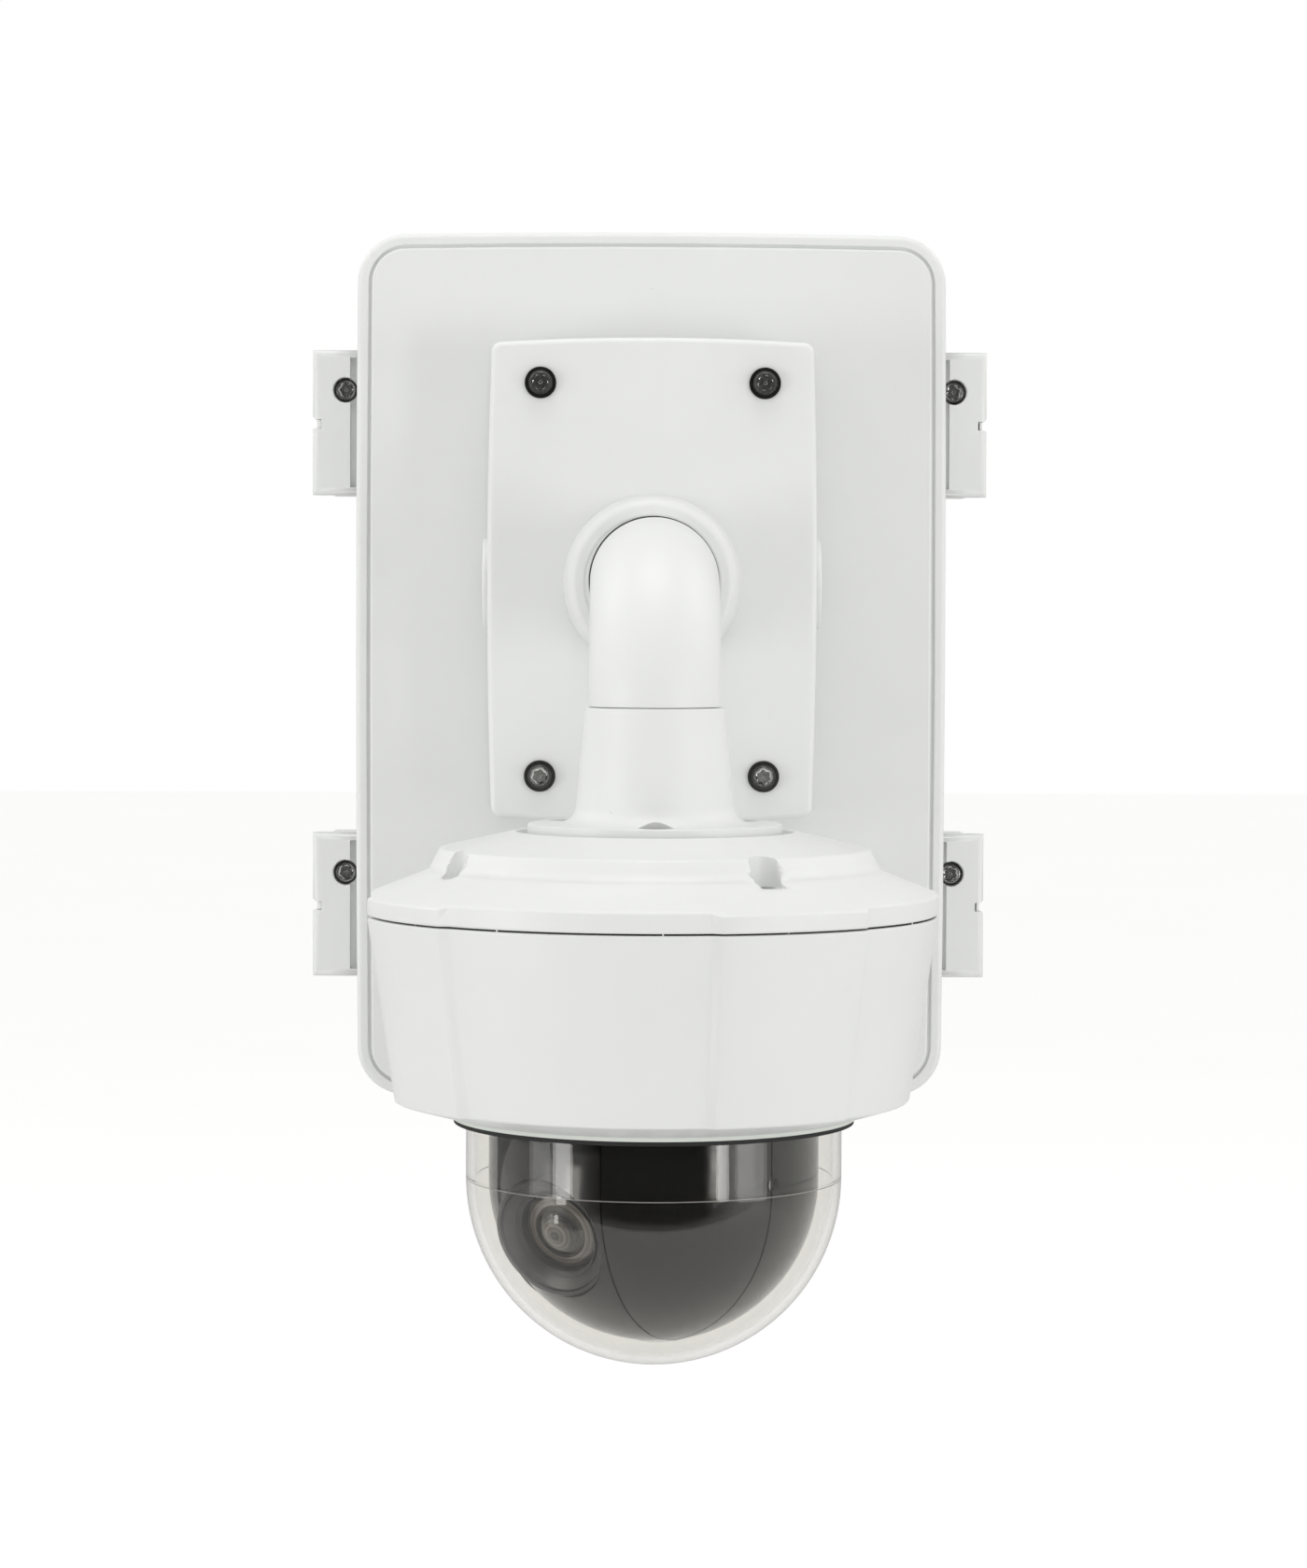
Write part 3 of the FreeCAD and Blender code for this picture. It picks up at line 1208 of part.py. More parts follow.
def make_bracket_arm():
    body = new_body("bracket_arm")
    flange_front = "(%s - sizes.base_plate)" % BASE_FRONT
    flange_back = "(%s - sizes.arm_flange_thick)" % flange_front
    sketch = sketch_on(body, "XZ_Plane", flange_back)
    draw_circle(sketch, "0", "sizes.base_centre", "sizes.arm_flange_radius")
    pad(body, sketch, "sizes.arm_flange_thick")
    sketch = sketch_on(body, "XZ_Plane", flange_back)
    draw_circle(sketch, "0", "sizes.base_centre", "sizes.arm_radius")
    sweep(body, sketch, arm_path(body, "-" + flange_back, "sizes.arm_end"))
    bore_start = "(%s - sizes.cut_past)" % flange_back
    sketch = sketch_on(body, "XZ_Plane", bore_start)
    draw_circle(sketch, "0", "sizes.base_centre", ARM_BORE)
    sweep(body, sketch, arm_path(body, "-" + bore_start, "sizes.arm_end - sizes.cut_past"), cut=True)
    # Screws that hold the flange to the base from behind
    screws = []
    places = []
    for step in range(4):
        angle = 45 + 90 * step
        places.append(("sizes.arm_screw_circle * cos(%d)" % angle,
                       "sizes.base_centre + sizes.arm_screw_circle * sin(%d)" % angle))
    sketch = sketch_on(body, "XZ_Plane", flange_front)
    for x, z in places:
        draw_circle(sketch, x, z, "sizes.arm_screw_radius + sizes.screw_fit / 2")
    pocket(body, sketch, "sizes.arm_flange_thick")
    for i, (x, z) in enumerate(places):
        name = "arm_screw_%d" % i
        top = cylinder(name + "_head", "2 * sizes.arm_screw_radius", "sizes.arm_screw_radius * 1.5", x,
                       "-%s + sizes.arm_screw_radius * 1.5" % flange_back, z, *FORWARD)
        stem = cylinder(name + "_shank", "sizes.arm_screw_radius", "sizes.arm_flange_thick", x,
                        "-" + flange_back, z, *FORWARD)
        screws.append(fuse(name, [top, stem]))
    group("arm_screws", screws)


# Everything on the camera's axis
def camera_body(label, azimuth="0"):
    body = new_body(label)
    seat_on_axis(body, azimuth)
    return body


def seat_on_axis(item, azimuth="0", level="0"):
    item.Placement = FreeCAD.Placement(
        FreeCAD.Vector(), FreeCAD.Rotation(FreeCAD.Vector(0, 0, 1), value(azimuth) or 1e-9))
    item.setExpression("Placement.Base.y", "-" + CAMERA_OUT)
    item.setExpression("Placement.Base.z", level)


def turned_part(label, profile, azimuth="0"):
    body = camera_body(label, azimuth)
    sketch = sketch_on(body, "XZ_Plane")
    draw_polygon(sketch, profile)
    turn(body, sketch)
    return body


def make_pendant_adapter():
    top = "(sizes.arm_end - sizes.joint_gap)"
    body = turned_part("pendant_adapter", [
        ("sizes.adapter_bore", "sizes.flange_bottom"), ("sizes.flange_radius", "sizes.flange_bottom"),
        ("sizes.flange_radius", "sizes.flange_top"), ("sizes.adapter_low_radius", "sizes.flange_top"),
        ("sizes.adapter_top_radius", top),
        ("%s - sizes.screw_fit" % ARM_BORE, top),
        ("%s - sizes.screw_fit" % ARM_BORE, "%s + sizes.adapter_spigot" % top),
        ("sizes.adapter_bore", "%s + sizes.adapter_spigot" % top)])
    round_edges(body, "0.8", ring_edge("sizes.flange_top", "sizes.flange_radius"))
    round_edges(body, "sizes.adapter_fillet", ring_edge("sizes.flange_top", "sizes.adapter_low_radius"))
    sketch = sketch_on(body, "XY_Plane", "sizes.flange_top + sizes.adapter_fillet")
    draw_circle(sketch, "0", "-sizes.flange_hole_circle", "sizes.flange_hole_radius")
    first = pocket(body, sketch, "sizes.flange_top - sizes.flange_bottom + sizes.adapter_fillet"
                                 " - sizes.flange_hole_seat")
    sketch = sketch_on(body, "XY_Plane", "sizes.flange_top")
    draw_circle(sketch, "0", "-sizes.flange_hole_circle", "sizes.screw_radius + sizes.screw_fit")
    second = pocket(body, sketch, "sizes.flange_top - sizes.flange_bottom")
    pattern(body, [first, second], 3)
    # Screws down into the camera's cover
    screws = []
    for i, angle in enumerate((-90, 30, 150)):
        x = "sizes.flange_hole_circle * cos(%d)" % angle
        y = "-%s + sizes.flange_hole_circle * sin(%d)" % (CAMERA_OUT, angle)
        screws.append(screw("adapter_screw_%d" % i, x, y, "sizes.flange_bottom + sizes.flange_hole_seat",
                            "sizes.screw_radius", "sizes.flange_hole_seat + sizes.adapter_screw_length",
                            "sizes.screw_head_radius",
                            "sizes.screw_head_thick", upright=True))
    group("adapter_screws", screws)


# Cover of the camera: turned form, raised panels and screw notches
def skirt_level(radius):
    return "(sizes.skirt_top - (%s - sizes.skirt_radius) * sizes.skirt_fall)" % radius


def panel_outline(sketch, recess, inner):
    raised = "(%s + sizes.panel_step)" % recess
    half = "sizes.panel_angle / 2"
    wide = "(sizes.panel_angle / 2 + sizes.panel_slant / 2)"
    near = "(sizes.panel_angle / 2 - sizes.panel_slant / 2)"
    sunk = "(%s - sizes.panel_sunk)" % recess
    corners = [
        ("-%s * sin(%s)" % (sunk, wide), "-%s * cos(%s)" % (sunk, wide)),
        ("-%s * sin(%s)" % (raised, near), "-%s * cos(%s)" % (raised, near)),
        ("%s * sin(%s)" % (raised, near), "-%s * cos(%s)" % (raised, near)),
        ("%s * sin(%s)" % (sunk, wide), "-%s * cos(%s)" % (sunk, wide)),
        ("%s * sin(%s)" % (inner, half), "-%s * cos(%s)" % (inner, half)),
        ("-%s * sin(%s)" % (inner, half), "-%s * cos(%s)" % (inner, half))]
    points = [FreeCAD.Vector(value(across), value(up), 0) for across, up in corners]
    spread = math.radians(value(near))
    down = -math.pi / 2
    circle = Part.Circle(FreeCAD.Vector(), FreeCAD.Vector(0, 0, 1), value(raised))
    items = [Part.LineSegment(points[0], points[1]), Part.ArcOfCircle(circle, down - spread, down + spread)]
    items += [Part.LineSegment(points[i], points[(i + 1) % 6]) for i in (2, 3, 4, 5)]
    sketch.addGeometry(items, False)
    for i in range(6):
        sketch.addConstraint(Sketcher.Constraint("Coincident", i, 2, (i + 1) % 6, 1))
    sketch.addConstraint(Sketcher.Constraint("Coincident", 1, 3, -1, 1))
    constrain(sketch, "Radius", (1,), raised)
    constrain(sketch, "DistanceX", (-1, 1, 1, 1), corners[1][0])
    constrain(sketch, "DistanceX", (-1, 1, 1, 2), corners[2][0])
    for item, index in ((0, 0), (3, 3), (4, 4), (5, 5)):
        fix_point(sketch, item, 1, *corners[index])


def make_top_cover():
    wall = "sizes.casing_wall"
    edge = "sizes.casing_radius"
    inner_edge = "(%s - %s)" % (edge, wall)
    body = turned_part("top_cover", [
        ("sizes.adapter_bore", "sizes.flange_bottom"), ("sizes.recess_radius", "sizes.flange_bottom"),
        ("sizes.recess_radius", "sizes.plateau_inner"), ("sizes.plateau_radius", "sizes.plateau_edge"),
        ("sizes.skirt_radius", "sizes.skirt_top"), (edge, skirt_level(edge)), (edge, "sizes.seam_level"),
        (inner_edge, "sizes.seam_level"), (inner_edge, "%s - %s" % (skirt_level(edge), wall)),
        ("sizes.skirt_radius - %s" % wall, "sizes.skirt_top - %s" % wall),
        ("sizes.plateau_radius - %s" % wall, "sizes.plateau_edge - %s" % wall),
        ("sizes.recess_radius", "sizes.flange_bottom - sizes.casing_wall - 1"),
        ("sizes.adapter_bore", "sizes.flange_bottom - sizes.casing_wall - 1")], "sizes.panel_azimuth")
    round_edges(body, "sizes.cover_round", ring_edge("sizes.plateau_edge", "sizes.plateau_radius"))
    # Raised panels: pads cut back to the skirt's slope by a turned groove
    sketch = sketch_on(body, "XY_Plane", "sizes.seam_level")
    panel_outline(sketch, edge, "(%s + sizes.panel_sunk)" % inner_edge)
    panel = pad(body, sketch, "%s - sizes.seam_level" % skirt_level(edge))
    pattern(body, [panel], 4)
    high = "sizes.skirt_top"
    far = "(%s + 2 * sizes.panel_step)" % edge
    sketch = sketch_on(body, "XZ_Plane")
    draw_polygon(sketch, [(edge, skirt_level(edge)), (far, skirt_level(far)), (far, high), (edge, high)])
    turn(body, sketch, cut=True)
    # Screw bosses under the notches
    sketch = sketch_on(body, "XY_Plane", "sizes.seam_level")
    draw_circle(sketch, "0", "-sizes.cover_screw_circle", "sizes.cover_boss_radius")
    boss = pad(body, sketch, "sizes.notch_floor - sizes.seam_level + 3")
    # Notch: a slot with a round inner end, open outwards above the skirt
    far = "(sizes.casing_radius + 10)"
    half = "(sizes.notch_width / 2)"
    sketch = sketch_on(body, "XY_Plane", "sizes.plateau_inner")
    draw_slot(sketch, half, "sizes.notch_start", far)
    slot = pocket(body, sketch, "sizes.plateau_inner - sizes.notch_floor")
    sketch = sketch_on(body, "XY_Plane", "sizes.notch_floor")
    draw_circle(sketch, "0", "-sizes.cover_screw_circle", "sizes.cover_head_radius + sizes.cover_head_fit")
    seat = pocket(body, sketch, "sizes.cover_head_thick + sizes.cover_head_sink")
    sketch = sketch_on(body, "XY_Plane", "sizes.notch_floor")
    draw_circle(sketch, "0", "-sizes.cover_screw_circle", "sizes.cover_screw_radius + sizes.screw_fit")
    hole = pocket(body, sketch, "sizes.notch_floor - sizes.seam_level")
    pattern(body, [boss, slot, seat, hole], 4)
    # Tapped holes for the adapter's screws
    sketch = sketch_on(body, "XY_Plane", "sizes.flange_bottom")
    for angle in (-90, 30, 150):
        turned = "(%d - sizes.panel_azimuth)" % angle
        draw_circle(sketch, "sizes.flange_hole_circle * cos%s" % turned,
                    "sizes.flange_hole_circle * sin%s" % turned, "sizes.screw_radius + sizes.screw_fit / 2")
    pocket(body, sketch, "sizes.casing_wall + 2 * sizes.cut_past")


def draw_slot(sketch, half, start, far):
    radius = value(half)
    inner = value(start) + radius
    outer = value(far)
    circle = Part.Circle(FreeCAD.Vector(0, -inner, 0), FreeCAD.Vector(0, 0, 1), radius)
    sketch.addGeometry([
        Part.ArcOfCircle(circle, 0, math.pi),
        Part.LineSegment(FreeCAD.Vector(-radius, -inner, 0), FreeCAD.Vector(-radius, -outer, 0)),
        Part.LineSegment(FreeCAD.Vector(-radius, -outer, 0), FreeCAD.Vector(radius, -outer, 0)),
        Part.LineSegment(FreeCAD.Vector(radius, -outer, 0), FreeCAD.Vector(radius, -inner, 0))], False)
    for i in range(4):
        sketch.addConstraint(Sketcher.Constraint("Coincident", i, 2, (i + 1) % 4, 1))
    fix_point(sketch, 1, 1, "-" + half, "-(%s + %s)" % (start, half))
    fix_point(sketch, 1, 2, "-" + half, "-" + far)
    fix_point(sketch, 3, 1, half, "-" + far)
    fix_point(sketch, 3, 2, half, "-(%s + %s)" % (start, half))
    constrain(sketch, "DistanceY", (-1, 1, 0, 3), "-(%s + %s)" % (start, half))


def make_lower_housing():
    wall = "sizes.casing_wall"
    edge = "sizes.casing_radius"
    low = "sizes.casing_low_radius"
    lip = "(sizes.dome_radius + sizes.dome_fit)"
    lip_top = "(sizes.underside_level + sizes.underside_lip)"
    body = turned_part("lower_housing", [
        (lip, "sizes.underside_level"), ("sizes.underside_radius", "sizes.underside_level"),
        (low, "sizes.casing_bottom"), (edge, CASING_TOP), ("%s - %s" % (edge, wall), CASING_TOP),
        ("%s - %s" % (low, wall), "sizes.casing_bottom + %s" % wall),
        ("sizes.underside_radius + 1", lip_top), (lip, lip_top)], "sizes.panel_azimuth")
    # Raised panels run down the wall
    upper = sketch_on(body, "XY_Plane", CASING_TOP)
    panel_outline(upper, edge, "(%s - %s + sizes.panel_sunk)" % (edge, wall))
    lower = sketch_on(body, "XY_Plane", "sizes.casing_bottom")
    panel_outline(lower, low, "(%s - %s + sizes.panel_sunk)" % (low, wall))
    panel = loft(body, [upper, lower])
    # and fade out along the underside
    upper = sketch_on(body, "XY_Plane", "sizes.casing_bottom")
    panel_outline(upper, low, "(%s - %s + sizes.panel_sunk)" % (low, wall))
    fade = sketch_on(body, "XY_Plane", "sizes.underside_level")
    panel_outline(fade, "(sizes.underside_radius - sizes.panel_step)",
                  "(sizes.underside_radius - sizes.fade_inset)")
    belly = loft(body, [upper, fade])
    # Columns for the cover's screws, with shelves that carry the chassis
    foot = "(%s + 1.3)" % lip_top
    sketch = sketch_on(body, "XY_Plane", foot)
    draw_circle(sketch, "0", "-sizes.cover_screw_circle", "sizes.cover_boss_radius")
    column = pad(body, sketch, "%s - %s" % (CASING_TOP, foot))
    sketch = sketch_on(body, "XY_Plane", CHASSIS_BOTTOM)
    draw_rectangle(sketch, "-sizes.cover_boss_radius * 0.8", "sizes.cover_boss_radius * 0.8",
                   "-sizes.cover_screw_circle", "-sizes.cover_screw_circle + sizes.shelf_reach")
    shelf = pad(body, sketch, "sizes.shelf_thick", backwards=True)
    sketch = sketch_on(body, "XY_Plane", CASING_TOP)
    draw_circle(sketch, "0", "-sizes.cover_screw_circle", "sizes.cover_screw_radius + sizes.screw_fit / 2")
    hole = pocket(body, sketch, "sizes.cover_screw_length")
    pattern(body, [panel, belly, column, shelf, hole], 4)


def make_cover_screws():
    screws = []
    level = "sizes.notch_floor - sizes.cover_head_thick - sizes.cover_head_sink"
    for i in range(4):
        angle = "(sizes.panel_azimuth - 90 + %d)" % (90 * i)
        x = "sizes.cover_screw_circle * cos%s" % angle
        y = "-%s + sizes.cover_screw_circle * sin%s" % (CAMERA_OUT, angle)
        screws.append(screw("cover_screw_%d" % i, x, y, level, "sizes.cover_screw_radius",
                            "sizes.cover_screw_length", "sizes.cover_head_radius", "sizes.cover_head_thick",
                            upright=True))
    group("cover_screws", screws)


def make_dome():
    wall = "sizes.casing_wall"
    turned_part("seam_gasket", [
        ("sizes.casing_radius - %s + sizes.seam_seal_inset" % wall, CASING_TOP),
        ("sizes.casing_radius - sizes.seam_seal_set", CASING_TOP),
        ("sizes.casing_radius - sizes.seam_seal_set", "sizes.seam_level"),
        ("sizes.casing_radius - %s + sizes.seam_seal_inset" % wall, "sizes.seam_level")])
    turned_part("dome_seal", [
        ("sizes.dome_radius + sizes.seal_fit", SEAL_LEVEL),
        ("sizes.seal_outer_radius - sizes.seal_taper", SEAL_LEVEL),
        ("sizes.seal_outer_radius", "sizes.underside_level"),
        ("sizes.dome_radius + sizes.seal_fit", "sizes.underside_level")])
    lip_top = "(sizes.underside_level + sizes.underside_lip)"
    turned_part("dome_gasket", [
        ("sizes.dome_radius + sizes.seal_fit", "%s - sizes.dome_gasket_thick" % SEAL_LEVEL),
        ("sizes.dome_gasket_radius", "%s - sizes.dome_gasket_thick" % SEAL_LEVEL),
        ("sizes.dome_gasket_radius", SEAL_LEVEL), ("sizes.dome_radius + sizes.seal_fit", SEAL_LEVEL)])
    body = camera_body("clear_dome")
    sketch = sketch_on(body, "XZ_Plane")
    draw_dome(sketch, lip_top)
    turn(body, sketch)
    flange_top = "(%s + sizes.dome_wall)" % lip_top
    reach = "(sizes.dome_radius + sizes.dome_flange)"
    inner = "(sizes.ball_radius + sizes.head_clear)"
    turned_part("dome_clamp", [
        (inner, flange_top), (reach, flange_top), (reach, "%s + sizes.clamp_thick" % flange_top),
        (inner, "%s + sizes.clamp_thick" % flange_top)])


# The dome's section: flange, short cylinder, half sphere, all one wall thick
def draw_dome(sketch, lip_top):
    outer = "sizes.dome_radius"
    inner = "(sizes.dome_radius - sizes.dome_wall)"
    reach = "(sizes.dome_radius + sizes.dome_flange)"
    top = "(%s + sizes.dome_wall)" % lip_top
    level = "sizes.dome_level"
    big, small, middle = value(outer), value(inner), value(level)
    centre = FreeCAD.Vector(0, middle, 0)
    axis = FreeCAD.Vector(0, 0, 1)
    down = 1.5 * math.pi

    def point(across, up):
        return FreeCAD.Vector(value(across), value(up), 0)

    sketch.addGeometry([
        Part.ArcOfCircle(Part.Circle(centre, axis, big), down, 2 * math.pi),
        Part.LineSegment(point(outer, level), point(outer, lip_top)),
        Part.LineSegment(point(outer, lip_top), point(reach, lip_top)),
        Part.LineSegment(point(reach, lip_top), point(reach, top)),
        Part.LineSegment(point(reach, top), point(inner, top)),
        Part.LineSegment(point(inner, top), point(inner, level)),
        Part.ArcOfCircle(Part.Circle(centre, axis, small), down, 2 * math.pi),
        Part.LineSegment(point("0", "%s - %s" % (level, inner)),
                         point("0", "%s - %s" % (level, outer)))], False)
    joins = [(0, 2, 1, 1), (1, 2, 2, 1), (2, 2, 3, 1), (3, 2, 4, 1), (4, 2, 5, 1), (5, 2, 6, 2),
             (6, 1, 7, 1), (7, 2, 0, 1)]
    for join in joins:
        sketch.addConstraint(Sketcher.Constraint("Coincident", *join))
    fix_point(sketch, 0, 3, "0", level)
    fix_point(sketch, 0, 1, "0", "%s - %s" % (level, outer))
    constrain(sketch, "DistanceY", (-1, 1, 0, 2), level)
    fix_point(sketch, 2, 1, outer, lip_top)
    fix_point(sketch, 3, 1, reach, lip_top)
    fix_point(sketch, 4, 1, reach, top)
    fix_point(sketch, 5, 1, inner, top)
    fix_point(sketch, 6, 3, "0", level)
    fix_point(sketch, 6, 1, "0", "%s - %s" % (level, inner))
    constrain(sketch, "DistanceY", (-1, 1, 6, 2), level)


# Works inside the camera's casing
def make_chassis():
    body = turned_part("chassis", [
        ("sizes.bearing_radius + sizes.slip_fit", CHASSIS_BOTTOM), ("sizes.chassis_radius", CHASSIS_BOTTOM),
        ("sizes.chassis_radius", "sizes.chassis_level"),
        ("sizes.bearing_radius + sizes.bearing_wall", "sizes.chassis_level"),
        ("sizes.bearing_radius + sizes.bearing_wall", BEARING_TOP),
        ("sizes.bearing_radius + sizes.slip_fit", BEARING_TOP)], "sizes.panel_azimuth")
    sketch = sketch_on(body, "XY_Plane", "sizes.chassis_level")
    draw_circle(sketch, "0", "-sizes.cover_screw_circle", "sizes.cover_boss_radius + sizes.boss_clear")
    hole = pocket(body, sketch, "sizes.chassis_thick")
    pattern(body, [hole], 4)
    sketch = sketch_on(body, "XY_Plane", "sizes.chassis_level")
    turned = "(sizes.motor_azimuth - sizes.panel_azimuth)"
    draw_circle(sketch, "sizes.motor_reach * sin%s" % turned, "-sizes.motor_reach * cos%s" % turned,
                "sizes.motor_pulley_radius * 0.6")
    pocket(body, sketch, "sizes.chassis_thick")

    turned_part("pan_bearing", [
        ("sizes.hub_radius + sizes.hub_fit", BEARING_BOTTOM), ("sizes.bearing_radius", BEARING_BOTTOM),
        ("sizes.bearing_radius", BEARING_TOP), ("sizes.hub_radius + sizes.hub_fit", BEARING_TOP)])

    x = "sizes.motor_reach * sin(sizes.motor_azimuth)"
    y = "-%s - sizes.motor_reach * cos(sizes.motor_azimuth)" % CAMERA_OUT
    case = cylinder("pan_motor_case", "sizes.motor_radius", "sizes.motor_length", x, y,
                    "%s - sizes.motor_length" % CHASSIS_BOTTOM)
    bore = cylinder("pan_motor_bore", "sizes.motor_shaft_radius + sizes.hub_fit", "sizes.motor_length", x, y,
                    "%s - sizes.motor_length / 2" % CHASSIS_BOTTOM)
    keep("pan_motor", cut("pan_motor", case, bore))
    disc = cylinder("pan_motor_pulley_disc", "sizes.motor_pulley_radius", "sizes.pulley_thick", x, y,
                    PULLEY_BOTTOM)
    shaft = cylinder("pan_motor_shaft", "sizes.motor_shaft_radius",
                     "%s - %s + sizes.motor_length / 2 - 1" % (PULLEY_BOTTOM, CHASSIS_BOTTOM), x, y,
                     "%s - sizes.motor_length / 2 + 1" % CHASSIS_BOTTOM)
    keep("pan_motor_pulley", fuse("pan_motor_pulley", [disc, shaft]))

    body = camera_body("pan_belt", "sizes.motor_azimuth")
    start = "%s + (sizes.pulley_thick - sizes.belt_width) / 2" % PULLEY_BOTTOM
    sketch = sketch_on(body, "XY_Plane", start)
    for extra in ("sizes.belt_gap", "(sizes.belt_gap + sizes.belt_thick)"):
        draw_belt(sketch, "(sizes.pulley_radius + %s)" % extra, "(sizes.motor_pulley_radius + %s)" % extra,
                  "sizes.motor_reach", -1)
    pad(body, sketch, "sizes.belt_width")

    pillars = []
    for i in range(4):
        angle = "(sizes.panel_azimuth - 90 + %d)" % (90 * i)
        pillars.append(cylinder(
            "board_pillar_%d" % i, "sizes.pillar_radius", "sizes.board_level - sizes.chassis_level",
            "sizes.pillar_circle * cos%s" % angle, "-%s + sizes.pillar_circle * sin%s" % (CAMERA_OUT, angle),
            "sizes.chassis_level"))
    group("board_pillars", pillars)
    board_top = "(sizes.board_level + sizes.board_thick)"
    turned_part("main_board", [
        ("sizes.slip_radius + sizes.screw_fit", "sizes.board_level"),
        ("sizes.board_radius", "sizes.board_level"),
        ("sizes.board_radius", board_top), ("sizes.slip_radius + sizes.screw_fit", board_top)])
    turned_part("slip_ring", [
        ("2", "sizes.slip_bottom"), ("sizes.slip_radius", "sizes.slip_bottom"),
        ("sizes.slip_radius", board_top), ("sizes.slip_radius + 4", board_top),
        ("sizes.slip_radius + 4", "%s + 2" % board_top), ("2", "%s + 2" % board_top)])


# A belt's outline round a large pulley at the origin and a small one at a distance up or down the sketch
def draw_belt(sketch, large, small, distance, direction):
    big, little, reach = value(large), value(small), value(distance)
    lean = math.asin((big - little) / reach)
    axis = FreeCAD.Vector(0, 0, 1)
    turned = 0 if direction < 0 else math.pi
    near = FreeCAD.Vector(0, 0, 0)
    away = FreeCAD.Vector(0, direction * reach, 0)

    def point(centre, radius, side):
        return FreeCAD.Vector(-direction * side * radius * math.cos(lean),
                              centre.y + direction * radius * math.sin(lean), 0)

    first = sketch.addGeometry([
        Part.ArcOfCircle(Part.Circle(near, axis, big), turned - lean, turned + math.pi + lean),
        Part.LineSegment(point(near, big, -1), point(away, little, -1)),
        Part.ArcOfCircle(Part.Circle(away, axis, little), turned + math.pi + lean, turned + 2 * math.pi - lean),
        Part.LineSegment(point(away, little, 1), point(near, big, 1))], False)[0]
    for a, b in ((0, 1), (1, 2), (2, 3), (3, 0)):
        sketch.addConstraint(Sketcher.Constraint("Tangent", first + a, 2, first + b, 1))
    fix_point(sketch, first, 3, "0", "0")
    fix_point(sketch, first + 2, 3, "0", "%d * %s" % (direction, distance))
    constrain(sketch, "Radius", (first,), large)
    constrain(sketch, "Radius", (first + 2,), small)


# Pan head: turntable with hub, two side caps and the tilt drive. Local X is the tilt axis, -Y the lens side.
def head_body(label, tilted=False):
    body = new_body(label)
    seat_in_head(body, tilted)
    return body


def seat_in_head(item, tilted=False):
    turned = FreeCAD.Rotation(FreeCAD.Vector(0, 0, 1), value("sizes.head_rest_pan"))
    if tilted:
        turned = turned.multiply(FreeCAD.Rotation(FreeCAD.Vector(1, 0, 0), value("sizes.head_rest_tilt")))
    item.Placement = FreeCAD.Placement(FreeCAD.Vector(), turned)
    item.setExpression("Placement.Base.y", "-" + CAMERA_OUT)
    item.setExpression("Placement.Base.z", "sizes.dome_level")


def make_turntable():
    body = head_body("turntable")
    plate_low = "sizes.cap_top"
    plate_high = "(sizes.cap_top + sizes.turntable_thick)"
    hub_high = "(sizes.hub_top - sizes.dome_level)"
    sketch = sketch_on(body, "XZ_Plane")
    draw_polygon(sketch, [
        ("sizes.hub_bore", plate_low), ("sizes.ball_radius", plate_low), ("sizes.ball_radius", plate_high),
        ("sizes.hub_radius", plate_high), ("sizes.hub_radius", hub_high), ("sizes.hub_bore", hub_high)])
    turn(body, sketch)

    body = head_body("pan_pulley")
    low = "(%s - sizes.dome_level)" % PULLEY_BOTTOM
    sketch = sketch_on(body, "XZ_Plane")
    draw_polygon(sketch, [
        ("sizes.hub_radius + sizes.slip_fit", low), ("sizes.pulley_radius", low),
        ("sizes.pulley_radius", "%s + sizes.pulley_thick" % low),
        ("sizes.hub_radius + sizes.slip_fit", "%s + sizes.pulley_thick" % low)])
    turn(body, sketch)


# A side cap: half of the ball with a straight upper part, hollow, with a flat wall towards the drum
def make_side_cap(label, side, face):
    body = head_body(label)
    outer = "sizes.ball_radius"
    sketch = sketch_on(body, "XZ_Plane")
    draw_ball_half(sketch, outer, "sizes.cap_top")
    turn(body, sketch)
    sketch = sketch_on(body, "XZ_Plane")
    draw_ball_half(sketch, "(%s - sizes.head_wall)" % outer, "(sizes.cap_top + 1)")
    turn(body, sketch, cut=True)
    # Only the side beyond the drum stays
    sketch = sketch_on(body, "YZ_Plane", "%d * %s" % (side, face))
    span = "(2 * sizes.ball_radius)"
    draw_rectangle(sketch, "-" + span, span, "-" + span, span)
    pocket(body, sketch, "3 * sizes.ball_radius", backwards=side < 0)
    # Flat wall with the bore of the axle
    reach = "sqrt(sizes.ball_radius^2 - (%s + sizes.head_wall)^2)" % face
    sketch = sketch_on(body, "YZ_Plane", "%d * %s" % (side, face))
    draw_arch(sketch, reach, "sizes.cap_top")
    draw_circle(sketch, "0", "0", "sizes.axle_radius + sizes.axle_fit")
    pad(body, sketch, "sizes.head_wall", backwards=side < 0)
    # Sunk seat and hole of the cap's screw
    for depth, radius in (("sizes.cap_screw_seat", "(2 * sizes.cap_screw_radius + 0.4)"),
                          ("(sizes.cap_screw_seat - 5)", "(sizes.cap_screw_radius + 0.15)")):
        sketch = sketch_on(body, "YZ_Plane", "%d * (sizes.ball_radius + 2 * sizes.cut_past)" % side)
        draw_circle(sketch, "-sizes.cap_screw_forward", "sizes.cap_screw_level", radius)
        pocket(body, sketch, "sizes.ball_radius + 2 * sizes.cut_past - %s" % depth, backwards=side < 0)


